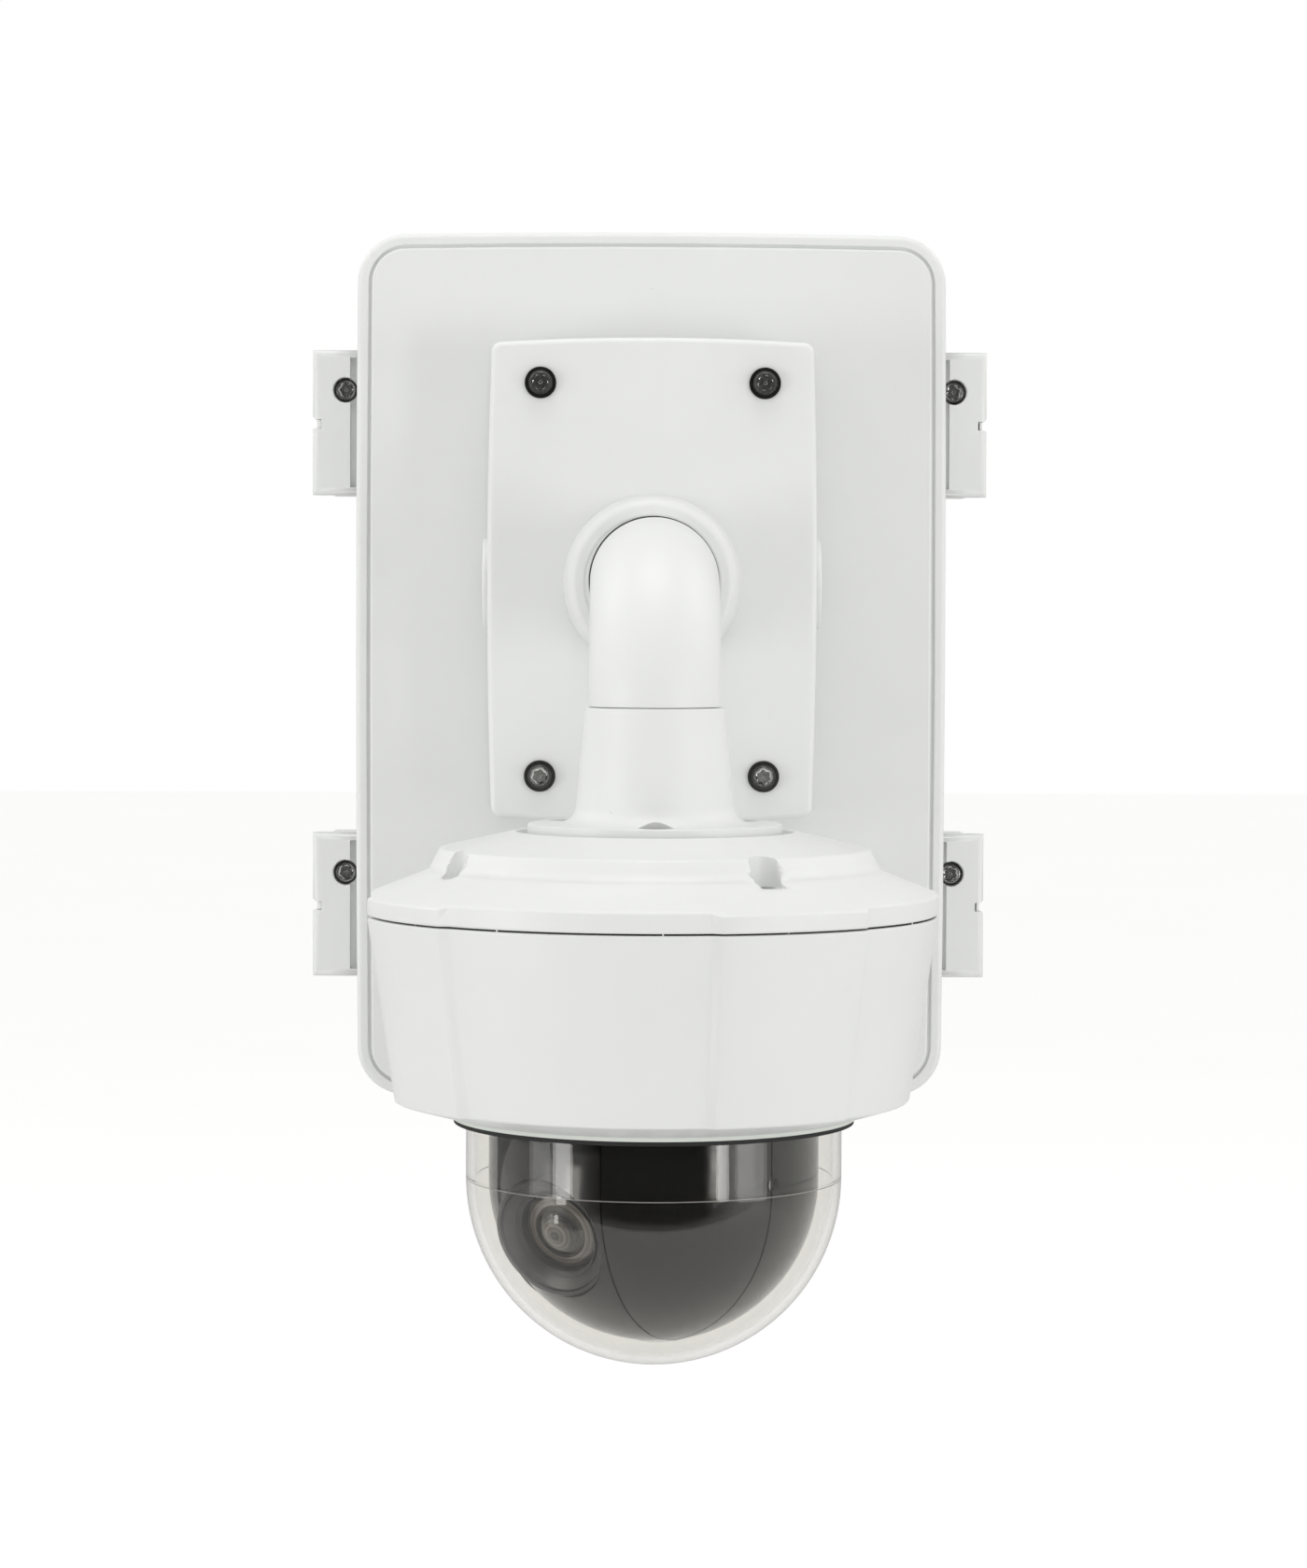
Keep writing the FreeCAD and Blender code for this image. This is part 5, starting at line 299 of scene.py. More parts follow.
# %% Coated lens glass
lens_glass, tree, shader, place = new_material("coated_lens_glass", 0.03, IOR=1.6, Coat_Weight=0.5,
                                               Coat_Roughness=0.02)
broad = lens_rings(tree, place, 7.5, "SIN")
fine = lens_rings(tree, place, 1.7, "SAW")
brown = add(tree, "ShaderNodeMix", {0: broad.outputs["Fac"]}, data_type="RGBA")
brown.inputs[6].default_value = linear("#33302e")
brown.inputs[7].default_value = linear("#7f7871")
ringed = add(tree, "ShaderNodeMix", {0: fine.outputs["Fac"], 6: brown.outputs[2]},
             data_type="RGBA", blend_type="MULTIPLY")
ringed.inputs[7].default_value = linear("#a8a39d")
tree.links.new(ringed.outputs[2], shader.inputs["Base Color"])

# %% Anodised bezel
lens_black, tree, shader, place = new_material("anodised_black", 0.3, Specular_IOR_Level=0.6)
mottle(tree, shader, place, "#1d1d1c", "#2b2b2a", 8)
turned = lens_rings(tree, place, 0.9, "SIN")
marks = add(tree, "ShaderNodeBump", {"Height": turned.outputs["Fac"]},
            {"Strength": 0.6, "Distance": 0.04 * MM})
tree.links.new(marks.outputs["Normal"], shader.inputs["Normal"])

# %% [markdown]
# ## Circuit boards
#
# A board is glass-reinforced laminate under green lacquer, with copper tracks that show through it. A brick
# pattern with thin pale joints draws the tracks: each brick is half a pattern unit long and a quarter high,
# so 6 mm by 3 mm, coarser than real tracks, so that they show.

# %% Circuit boards
PATTERN_MM = 12
circuit_board, tree, shader, place = new_material("circuit_board_green", 0.3, Coat_Weight=0.4)
tracks = add(tree, "ShaderNodeTexBrick", {"Vector": place},
             {"Scale": 1000 / PATTERN_MM, "Mortar Size": 0.03, "Mortar": linear("#3f8a5c"),
              "Color1": linear("#1d5a38"), "Color2": linear("#21633e")})
tree.links.new(tracks.outputs["Color"], shader.inputs["Base Color"])
print("clear materials and boards ready")

# %% [markdown]
# ## Which finish goes on which node
#
# The record names a material slot for every CAD node. Most nodes only need the finish for their slot, put
# on the node's own mesh. The nodes that get a dressed copy further down are finished there.

# %% Finishes on the CAD nodes
SLOT_FINISH = {
    "white_powder_coat": powder_coat, "plug_white": plug_plastic, "steel": stainless,
    "zinc_sheet": zinc_sheet, "black_rubber": rubber, "pale_seal": silicone, "clear_plastic": clear_dome,
    "grey_plastic": grey_plastic, "beige_plastic": beige_polyamide, "black_plastic": black_nylon,
    "cast_aluminium": cast_aluminium, "head_plastic": head_plastic, "lens_black": lens_black,
    "lens_glass": lens_glass, "circuit_board": circuit_board}
SLOT_OF = {row["node"]: row["material_slot"] for row in frame["record"]["subparts"]}
BODY_OF = {node: body for body, nodes in frame["record"]["behaviour"]["bodies"].items() for node in nodes}
for node, slot in SLOT_OF.items():
    mesh = NODES[node].data
    mesh.materials.clear()
    mesh.materials.append(SLOT_FINISH[slot])
for node in ("media_converter", "circuit_breaker"):
    NODES[node].data.materials[0] = pale_grey_plastic
print("finished", len(SLOT_OF), "nodes")

# %% [markdown]
# ## Helpers for new pieces
#
# A new piece is shaped in a bmesh. One helper merges its doubles and turns its faces outwards, one adds a
# finished shape to a larger one, and one stores the piece: smooth but for edges sharper than 35 degrees,
# with weighted normals that keep its flat faces flat. Every piece rides on the body that carries it, and
# gets the finishes it is given. Screws and rings are shaped round Z, and one matrix turns Z towards the
# viewer.

# %% Merge and join
TO_VIEWER = Matrix.Rotation(math.radians(90), 4, "X")


def tidy(shape):
    bmesh.ops.remove_doubles(shape, verts=shape.verts, dist=1e-6)
    bmesh.ops.recalc_face_normals(shape, faces=shape.faces)


def join(whole, one):
    held = bpy.data.meshes.new("held")
    one.to_mesh(held)
    one.free()
    whole.from_mesh(held)
    bpy.data.meshes.remove(held)


# %% Store a piece
def store(name, shape, finishes, node, replaces=False):
    mesh = bpy.data.meshes.new(name)
    shape.to_mesh(mesh)
    shape.free()
    mesh.shade_smooth()
    mesh.set_sharp_from_angle(angle=math.radians(35))
    for finish in finishes:
        mesh.materials.append(finish)
    piece = bpy.data.objects.new(name, mesh)
    bpy.context.scene.collection.objects.link(piece)
    even = piece.modifiers.new("even normals", "WEIGHTED_NORMAL")
    even.keep_sharp = True
    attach(piece, BODY_OF[node])
    if replaces:
        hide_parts(node)
    print(name, len(mesh.polygons), "faces")


# %% [markdown]
# ## Soft edges on the castings
#
# A casting has no knife edges: the mould is rounded, and the powder rounds it further. The CAD solids have
# their main fillets, and this step breaks the edges that are left. A copy of the node's mesh is merged, and
# every outward edge sharper than 50 degrees gets a small rounded bevel. Where edges crowd, a bevel can fold
# over itself. Each new face is therefore held against the nearest face of the plain copy: if it points the
# other way, its corners are noted, and the copy is bevelled again without the edges near them. Then the
# flat triangles are joined, so that the weighted normals see each flat wall as one large face and keep it
# flat. The softened copy takes the node's place on screen, and the node stays behind for collision.

# %% Bevel a copy of a node
MERGE = 0.02 * MM
SHARP = math.radians(50)
SPARE_REACH = 1.5 * MM
FLAT = math.radians(0.2)


def bevelled(node, width_mm, spared):
    shape = bmesh.new()
    shape.from_mesh(NODES[node].data)
    bmesh.ops.remove_doubles(shape, verts=shape.verts, dist=MERGE)
    plain = BVHTree.FromBMesh(shape)
    sharp = [edge for edge in shape.edges
             if edge.is_manifold and edge.is_convex and edge.calc_face_angle() > SHARP]
    if spared:
        near = KDTree(len(spared))
        for number, spot in enumerate(spared):
            near.insert(spot, number)
        near.balance()
        sharp = [edge for edge in sharp if all(near.find(vert.co)[2] > SPARE_REACH for vert in edge.verts)]
    bmesh.ops.bevel(shape, geom=sharp, affect="EDGES", offset=width_mm * MM, offset_type="OFFSET",
                    segments=3, profile=0.5, material=-1, clamp_overlap=False, loop_slide=False)
    folded = [face for face in shape.faces if face.calc_area() > 1e-9
              and face.normal.dot(plain.find_nearest(face.calc_center_median())[1]) < -0.2]
    return shape, [vert.co.copy() for face in folded for vert in face.verts]


# %% Soften a casting
def soften(node, width_mm, finish, work=None):
    spared = []
    for attempt in range(7):
        shape, folded = bevelled(node, width_mm, spared)
        if not folded:
            break
        spared += folded
    if work:
        shape = work(shape)
    bmesh.ops.dissolve_limit(shape, angle_limit=FLAT, verts=shape.verts, edges=shape.edges)
    print(node, "folds left", len(folded))
    store(node + "_finished", shape, [finish], node, replaces=True)


EDGE_WIDTHS = {"door": 0.8, "cabinet_body": 0.5, "bracket_base": 0.8, "bracket_arm": 0.3,
               "lower_housing": 0.9}
for node, width_mm in EDGE_WIDTHS.items():
    soften(node, width_mm, powder_coat)
soften("conduit_plugs", 0.8, plug_plastic)

# %% [markdown]
# ## Screw channels in the casing's cover
#
# Four upright channels, round like a drill's path, run down the slope of the cover to its screws. In the
# photograph they start right at the edge of the plateau, a little deeper than in the solid, so the softened
# copy gets them cut to that depth. A Boolean modifier takes four cylinders away, and the result is read
# back. A thin liner closes each channel behind the cover's wall: a circle extruded up to under the slope,
# with a floor that leaves the screw's seat open.

# %% Take a cutter away from a shape
CAMERA_AXIS = Vector((0, -336, 0)) * MM


def cut_away(shape, cutter):
    bmesh.ops.recalc_face_normals(cutter, faces=cutter.faces)
    pair = []
    for name, part in (("blank", shape), ("cutter", cutter)):
        mesh = bpy.data.meshes.new(name)
        part.to_mesh(mesh)
        part.free()
        pair.append(bpy.data.objects.new(name, mesh))
        bpy.context.scene.collection.objects.link(pair[-1])
    cut = pair[0].modifiers.new("cut", "BOOLEAN")
    cut.object = pair[1]
    cut.solver = "EXACT"
    result = bmesh.new()
    result.from_mesh(pair[0].evaluated_get(bpy.context.evaluated_depsgraph_get()).data)
    for item in pair:
        mesh = item.data
        bpy.data.objects.remove(item)
        bpy.data.meshes.remove(mesh)
    return result


# %% Cut the channels
CHANNEL_RADIUS = 5.7
CHANNEL_OUT = -79.4
CHANNEL_FLOOR = -73.1
CUTTER_DEPTH = 30
CHANNEL_AT = Matrix.Translation(CAMERA_AXIS) @ Matrix.Rotation(math.radians(28), 4, "Z")


def cut_channels(shape):
    cutter = bmesh.new()
    for quarter in range(4):
        turn = Matrix.Rotation(quarter * math.pi / 2, 4, "Z")
        middle = Vector((0, CHANNEL_OUT, CHANNEL_FLOOR + CUTTER_DEPTH / 2)) * MM
        bmesh.ops.create_cone(cutter, cap_ends=True, segments=64, depth=CUTTER_DEPTH * MM,
                              radius1=CHANNEL_RADIUS * MM, radius2=CHANNEL_RADIUS * MM,
                              matrix=turn @ Matrix.Translation(middle))
    bmesh.ops.transform(cutter, verts=cutter.verts, matrix=CHANNEL_AT)
    return cut_away(shape, cutter)


soften("top_cover", 0.9, powder_coat, cut_channels)


# %% The level just under the cover's wall
RECESS_RADIUS, RECESS_LEVEL, PLATEAU_SLOPE = 50.2, -58.6, 0.2266
PLATEAU_RADIUS, PLATEAU_LEVEL, SKIRT_SLOPE = 78, -65.0, 1.975


def under_cover(reach):
    if reach < PLATEAU_RADIUS:
        level = RECESS_LEVEL - (reach - RECESS_RADIUS) * PLATEAU_SLOPE
    else:
        level = PLATEAU_LEVEL - (reach - PLATEAU_RADIUS) * SKIRT_SLOPE
    return max(level, CHANNEL_FLOOR) * MM


# %% Line the channels
LINER_RADIUS = 5.75
SEAT_RADIUS = 4.0
SEAT_OUT = -79.6
LINER_FLOOR = CHANNEL_FLOOR + 0.03
shape = bmesh.new()
for quarter in range(4):
    ring = bmesh.ops.create_circle(shape, segments=64, radius=LINER_RADIUS * MM)["verts"]
    seat = bmesh.ops.create_circle(shape, segments=32, radius=SEAT_RADIUS * MM)["verts"]
    bmesh.ops.translate(shape, verts=ring, vec=(0, CHANNEL_OUT * MM, LINER_FLOOR * MM))
    bmesh.ops.translate(shape, verts=seat, vec=(0, SEAT_OUT * MM, LINER_FLOOR * MM))
    rim = [edge for edge in shape.edges if edge.verts[0] in ring]
    hole = [edge for edge in shape.edges if edge.verts[0] in seat]
    wall = bmesh.ops.extrude_edge_only(shape, edges=rim)["geom"]
    for item in wall:
        if isinstance(item, bmesh.types.BMVert):
            item.co.z = under_cover(item.co.xy.length / MM)
    bmesh.ops.triangle_fill(shape, edges=rim + hole, use_beauty=True)
    bmesh.ops.rotate(shape, verts=shape.verts, cent=(0, 0, 0), matrix=Matrix.Rotation(math.pi / 2, 3, "Z"))
bmesh.ops.remove_doubles(shape, verts=shape.verts, dist=1e-6)
bmesh.ops.transform(shape, verts=shape.verts, matrix=CHANNEL_AT)
store("cover_channels", shape, [powder_coat], "top_cover")

# %% [markdown]
# ## The pendant adapter
#
# The adapter is a turned casting: a slender cone that flares into a flange. Its profile is spun afresh,
# with the flare as an arc and each rim a little rounded. Its three screw seats lean outwards by ten
# degrees, so that the front one shows as an oval, as in the photograph. They are cut in the same way as the
# channels.

# %% Spin a profile
def spun(shape, profile, steps=48):
    points = [shape.verts.new((radius, 0, height)) for radius, height in profile]
    edges = [shape.edges.new(pair) for pair in zip(points, points[1:])]
    bmesh.ops.spin(shape, geom=points + edges, cent=(0, 0, 0), axis=(0, 0, 1), angle=2 * math.pi, steps=steps,
                   use_merge=True)
    bmesh.ops.remove_doubles(shape, verts=shape.verts, dist=1e-6)


# %% Adapter
BORE = 15
SPIGOT = 19.85
FLARE_OUT, FLARE_LEVEL, FLARE_RADIUS = 35.6, -47.4, 7
SEAT_HOLE = 6.4 * MM
SEAT_LEAN = math.radians(10)
flange = [(BORE, -60.4), (45.8, -60.4), (46.2, -60.0), (46.2, -55.2), (45.97, -54.63), (45.4, -54.4)]
flare = [(FLARE_OUT + FLARE_RADIUS * math.cos(a), FLARE_LEVEL + FLARE_RADIUS * math.sin(a))
         for a in [math.radians(270 - 9 * step) for step in range(11)]]
neck = [(25.35, -13.0), (25.2, -12.62), (24.85, -12.45), (SPIGOT, -12.45), (SPIGOT, -6.45), (BORE, -6.45)]
outline = flange + flare + neck + flange[:1]
shape = bmesh.new()
spun(shape, [(radius * MM, height * MM) for radius, height in outline], 160)
bmesh.ops.recalc_face_normals(shape, faces=shape.faces)
cutter = bmesh.new()
for third in range(3):
    turn = Matrix.Rotation(math.radians(120 * third), 4, "Z")
    foot = Matrix.Translation(Vector((0, -36.4, -58.2)) * MM) @ Matrix.Rotation(SEAT_LEAN, 4, "X")
    bmesh.ops.create_cone(cutter, cap_ends=True, segments=64, depth=20 * MM,
                          radius1=SEAT_HOLE, radius2=SEAT_HOLE,
                          matrix=turn @ foot @ Matrix.Translation((0, 0, 10 * MM)))
shape = cut_away(shape, cutter)
bmesh.ops.translate(shape, verts=shape.verts, vec=CAMERA_AXIS)
store("pendant_adapter_finished", shape, [powder_coat], "pendant_adapter", replaces=True)

# %% [markdown]
# ## Six-lobe screws
#
# The bracket and the door are held by six-lobe screws with a pin in the socket, the bracket's on black
# washers. The head is turned: its profile is spun round its axis. The socket starts as the round hole in
# the middle of the head. Its edge is copied inwards, pushed into six lobes, and extruded down to a floor,
# and the pin rises from that floor. The screws are sorted by their place, so that every run turns each one
# the same way.

# %% Extrude a rim once more
def copy_rim(shape, rim):
    grown = bmesh.ops.extrude_edge_only(shape, edges=rim)["geom"]
    ring = [item for item in grown if isinstance(item, bmesh.types.BMVert)]
    edges = [item for item in grown if isinstance(item, bmesh.types.BMEdge)]
    return ring, [edge for edge in edges if all(vert in ring for vert in edge.verts)]


# %% Cut a six-lobe socket
SOCKET = 3.05 * MM
PIN = 0.85 * MM
LOBE = 0.11


def lobed(shape, depth):
    rim = [edge for edge in shape.edges
           if edge.is_boundary and all(vert.co.xy.length < SOCKET * 1.3 for vert in edge.verts)]
    ring, rim = copy_rim(shape, rim)
    for vert in ring:
        vert.co.xy *= 0.86 * (1 + LOBE * math.cos(6 * math.atan2(vert.co.y, vert.co.x)))
        vert.co.z -= 0.12 * MM
    for across, up in ((1.0, -depth), (PIN / SOCKET, 0.0), (1.0, depth * 0.6), (0.8, 0.1 * MM)):
        ring, rim = copy_rim(shape, rim)
        for vert in ring:
            vert.co.xy *= across
            vert.co.z += up
    bmesh.ops.edgeloop_fill(shape, edges=rim)


# %% The places of a node's separate solids
def solids(node):
    shape = bmesh.new()
    shape.from_mesh(NODES[node].data)
    bmesh.ops.remove_doubles(shape, verts=shape.verts, dist=0.002 * MM)
    left = set(shape.verts)
    boxes = []
    while left:
        front = [left.pop()]
        found = []
        while front:
            vert = front.pop()
            found.append(vert.co.copy())
            for edge in vert.link_edges:
                other = edge.other_vert(vert)
                if other in left:
                    left.remove(other)
                    front.append(other)
        boxes.append([Vector([pick(co[i] for co in found) for i in range(3)]) for pick in (min, max)])
    shape.free()
    return sorted(boxes, key=lambda box: [round(value, 4) for value in box[0]])


# %% Bracket and door screws
def screw_set(node, head, thick, shank):
    whole = bmesh.new()
    for number, (low, high) in enumerate(solids(node)):
        tip = thick - (high.y - low.y)
        one = bmesh.new()
        spun(one, [(0, tip), (shank * 0.8, tip), (shank, tip + 0.4 * MM), (shank, 0),
                   (head - 0.15 * MM, 0), (head, 0.15 * MM), (head, thick * 0.45), (head * 0.96, thick * 0.7),
                   (head * 0.88, thick * 0.88), (head * 0.78, thick), (SOCKET, thick)])
        lobed(one, min(1.7 * MM, thick * 0.7))
        tidy(one)
        for face in one.faces:
            middle = face.calc_center_median()
            # The mouth of the socket takes the lighter steel: a painted highlight.
            if middle.xy.length < 3.0 * MM and middle.z > thick - 0.2 * MM:
                face.material_index = 1
            # The outside and underside of the head take black zinc: painted shade, the dark ring round the
            # head.
            elif middle.xy.length > head * 0.8 or middle.z < 0:
                face.material_index = 2
        spot = Vector(((low.x + high.x) / 2, low.y + thick, (low.z + high.z) / 2))
        turn = Matrix.Rotation(math.radians(17 + 40 * number), 4, "Z")
        bmesh.ops.transform(one, verts=one.verts, matrix=Matrix.Translation(spot) @ TO_VIEWER @ turn)
        join(whole, one)
    store(node + "_finished", whole, [stainless, socket_highlight_steel, black_zinc_and_shade], node, replaces=True)


screw_set("bracket_screws", 4.8 * MM, 3.2 * MM, 3.0 * MM)
screw_set("door_screws", 4.9 * MM, 2.6 * MM, 2.5 * MM)
NODES["bracket_washers"].data.materials[0] = black_zinc_and_shade

# %% [markdown]
# ## The dome's mould line, and the ticks on the seam
#
# The dome was moulded in two halves, which left a hair line round its equator. A narrow band, hardly proud
# of the wall, draws it. Along the casing's seam sit small locating nibs, which show as ticks in the dark
# gap.

# %% Mould line
band = [(68.28, -183.16), (68.34, -183.12), (68.34, -182.88), (68.28, -182.84), (68.28, -183.16)]
shape = bmesh.new()
spun(shape, [(radius * MM, level * MM) for radius, level in band], 128)
tidy(shape)
bmesh.ops.translate(shape, verts=shape.verts, vec=CAMERA_AXIS)
mould_line_plastic = moulded("polycarbonate_mould_line", "#8f8c88", "#9a9793", 0.3)
store("dome_mould_line", shape, [mould_line_plastic], "clear_dome")

# %% Locating nibs
NIB_ANGLES = (-55.5, -32.5, 1.0, 26.0, 62.0, 118.0, 150.0, 205.0, 238.0)
shape = bmesh.new()
for angle in NIB_ANGLES:
    turn = Matrix.Rotation(math.radians(angle), 4, "Z")
    nib = bmesh.ops.create_cube(shape, size=1.0)["verts"]
    bmesh.ops.scale(shape, verts=nib, vec=(0.5 * MM, 1.2 * MM, 0.62 * MM))
    bmesh.ops.translate(shape, verts=nib, vec=(0, -101.6 * MM, -87.1 * MM))
    bmesh.ops.transform(shape, verts=nib, matrix=Matrix.Translation(CAMERA_AXIS) @ turn)
store("seam_nibs", shape, [powder_coat], "seam_gasket")

# %% [markdown]
# ## Rings inside the lens
#
# Between the front glass and the bezel the barrel is cut into a stair of fine black rings, which kills
# stray light. A stepped profile is spun and laid along the lens's own axis.

# %% Lens rings
LENS_AT = Matrix.Translation(LENS_MIDDLE) @ LENS_TURN
STAIR_STEPS = 5
stair = [(15.05 * MM, 50.45 * MM)]
for step in range(STAIR_STEPS):
    radius = (15.15 + 0.30 * step) * MM
    level = (50.5 + 0.42 * step) * MM
    stair += [(radius, level), (radius, level + 0.3 * MM)]
shape = bmesh.new()
spun(shape, stair, 96)
tidy(shape)
bmesh.ops.transform(shape, verts=shape.verts, matrix=LENS_AT)
store("lens_light_trap", shape, [lens_black], "lens_bezel")

# %% [markdown]
# ## Front element of the lens
#
# In the middle of the front glass sits the strongly curved front element, which catches the soft boxes as
# small highlights. A sphere is made, all of it but a shallow cap is cut away with a plane, and the cut is
# filled, so the element is a closed cap that stands on the glass.

# %% Front element
ELEMENT_RIM = 10.2 * MM
ELEMENT_RISE = 3.9 * MM
ELEMENT_FOOT = 49.0 * MM
element_radius = (ELEMENT_RIM ** 2 + ELEMENT_RISE ** 2) / (2 * ELEMENT_RISE)
shape = bmesh.new()
bmesh.ops.create_uvsphere(shape, u_segments=96, v_segments=96, radius=element_radius)
cut = bmesh.ops.bisect_plane(shape, geom=shape.verts[:] + shape.edges[:] + shape.faces[:], clear_inner=True,
                             plane_co=(0, 0, element_radius - ELEMENT_RISE), plane_no=(0, 0, 1))
rim = [item for item in cut["geom_cut"] if isinstance(item, bmesh.types.BMEdge)]
bmesh.ops.edgeloop_fill(shape, edges=rim)
bmesh.ops.translate(shape, verts=shape.verts, vec=(0, 0, ELEMENT_FOOT - element_radius + ELEMENT_RISE))
tidy(shape)
bmesh.ops.transform(shape, verts=shape.verts, matrix=LENS_AT)
store("lens_front_element", shape, [lens_glass], "lens_glass")

# %% [markdown]
# ## Seams of the turning head
#
# The two side covers of the head meet the drum along flat cuts, and the right cover is itself split. Each
# seam shows as a dark hair line: a half circle round the ball with a straight part above it, where the head
# is straight. One short edge is spun round the ball's middle for the half circle, and the ends are extruded
# upwards.

# %% Draw a seam
seam_shadow = moulded("seam_shadow_black", "#070707", "#0c0c0c", 0.8)
seam_shadow.node_tree.nodes["Principled BSDF"].inputs["Specular IOR Level"].default_value = 0.1
HEAD_RADIUS = 60
HEAD_STRAIGHT = 60
SEAM_HALF = 0.33
SEAM_PROUD = 0.04


def head_seam(name, turn_degrees, offset_mm, sweep_degrees, node):
    reach = math.sqrt(HEAD_RADIUS ** 2 - offset_mm ** 2) + SEAM_PROUD
    shape = bmesh.new()
    start = [shape.verts.new(((offset_mm + side) * MM, -reach * MM, 0)) for side in (-SEAM_HALF, SEAM_HALF)]
    edge = shape.edges.new(start)
    bmesh.ops.spin(shape, geom=start + [edge], cent=(0, 0, 0), axis=(1, 0, 0),
                   angle=math.radians(sweep_degrees), steps=int(sweep_degrees / 2))
    level = [e for e in shape.edges if all(abs(v.co.z) < 0.01 * MM for v in e.verts)]
    legs = bmesh.ops.extrude_edge_only(shape, edges=level)["geom"]
    bmesh.ops.translate(shape, verts=[item for item in legs if isinstance(item, bmesh.types.BMVert)],
                        vec=(0, 0, HEAD_STRAIGHT * MM))
    bmesh.ops.remove_doubles(shape, verts=shape.verts, dist=1e-6)
    bmesh.ops.transform(shape, verts=shape.verts, matrix=Matrix.Translation(HEAD_MIDDLE)
                        @ Matrix.Rotation(math.radians(turn_degrees), 4, "Z"))
    bmesh.ops.recalc_face_normals(shape, faces=shape.faces)
    store(name, shape, [seam_shadow], node)


# %% Three seams
head_seam("head_seam_right", -32, 14.15, 180, "right_cap")
head_seam("head_seam_left", -32, -34.15, 180, "left_cap")
head_seam("head_seam_cover", 50.6, -8.3, 100, "right_cap")

# %% [markdown]
# ## Seats of the cap screws, and the ring round the arm
#
# Each cap screw lies in a small round seat with a soft rim. Where the arm comes out of the collar, the
# collar's lip reaches almost to the arm, and a thin black rubber cord lies in what is left. The cord is
# painted shade: it stands for the shade in that gap, and as the arm hangs a hair low in it, it draws a dark
# hair line round the top of the arm. All of them are spun profiles.

# %% Cap screw seats
seat = [(2.25, -0.5), (2.25, 0.05), (2.45, 0.12), (2.75, 0.05), (2.85, -0.5)]
shape = bmesh.new()
for low, high in solids("cap_screws"):
    middle = (low + high) / 2
    outward = Vector((middle.x - HEAD_MIDDLE.x, middle.y - HEAD_MIDDLE.y, 0)).normalized()
    ring = bmesh.new()
    spun(ring, [(radius * MM, height * MM) for radius, height in seat])
    bmesh.ops.recalc_face_normals(ring, faces=ring.faces)
    spot = Vector((HEAD_MIDDLE.x, HEAD_MIDDLE.y, middle.z)) + outward * HEAD_RADIUS * MM
    bmesh.ops.transform(ring, verts=ring.verts, matrix=Matrix.Translation(spot)
                        @ outward.to_track_quat("Z", "Y").to_matrix().to_4x4())
    join(shape, ring)
store("cap_screw_seats", shape, [head_plastic], "right_cap")

# %% Ring round the arm
ARM_LEVEL = 33.5
RING_AT = Matrix.Translation(Vector((0.7, -216.9, ARM_LEVEL + 0.8)) * MM) @ TO_VIEWER
# The black cord is painted shade: it draws the shade of the gap round the arm as a dark hair line.
cord = [(25.2 + 0.3 * math.cos(a), 0.3 * math.sin(a)) for a in [math.radians(45 * k) for k in range(9)]]
lip = [(25.5, -2.0), (25.5, -0.3), (25.7, -0.05), (26.1, 0.05), (27.5, 0.05), (27.5, -2.0), (25.5, -2.0)]
for name, outline, finish, node in (("arm_gap_painted_shade_ring", cord, rubber, "bracket_gasket"),
                                    ("collar_lip", lip, powder_coat, "bracket_base")):
    shape = bmesh.new()
    spun(shape, [(radius * MM, height * MM) for radius, height in outline], 128)
    tidy(shape)
    bmesh.ops.transform(shape, verts=shape.verts, matrix=RING_AT)
    store(name, shape, [finish], node)

# %% [markdown]
# ## Small parts on the equipment
#
# On the rail, the power supply and the media converter carry little signal lamps, and the terminals have
# sunk cheese-head screws. A lamp is a short round lens with a rounded front. A screw head is spun with a
# sunk middle, and a narrow bar across the middle stands for its slot.

# %% Signal lamps
led_green, tree, shader, place = new_material("led_lens_green", 0.25, Coat_Weight=0.3)
mottle(tree, shader, place, "#2f9a4a", "#46b564", 1.5)
led_amber, tree, shader, place = new_material("led_lens_amber", 0.25, Coat_Weight=0.3)
mottle(tree, shader, place, "#c98a1e", "#dda13a", 1.5)
LAMP_RADIUS = 1.4 * MM


def signal_lamps(name, spots, finish, node):
    shape = bmesh.new()
    for spot in spots:
        lamp = bmesh.ops.create_cone(shape, cap_ends=True, segments=24, depth=1.6 * MM,
                                     radius1=LAMP_RADIUS, radius2=LAMP_RADIUS,
                                     matrix=Matrix.Translation(Vector(spot) * MM) @ TO_VIEWER)["verts"]
        front = [edge for edge in shape.edges
                 if all(vert in lamp and vert.co.y < (spot[1] - 0.5) * MM for vert in edge.verts)]
        bmesh.ops.bevel(shape, geom=front, affect="EDGES", offset=0.5 * MM, offset_type="OFFSET",
                        segments=4, profile=0.5, material=-1)
    tidy(shape)
    store(name, shape, [finish], node)


signal_lamps("power_lamp", [(-26, -63.9, 58)], led_green, "power_supply")
signal_lamps("link_lamps", [(12, -59.9, 54), (18, -59.9, 54)], led_green, "media_converter")
signal_lamps("fault_lamp", [(24, -59.9, 54)], led_amber, "media_converter")


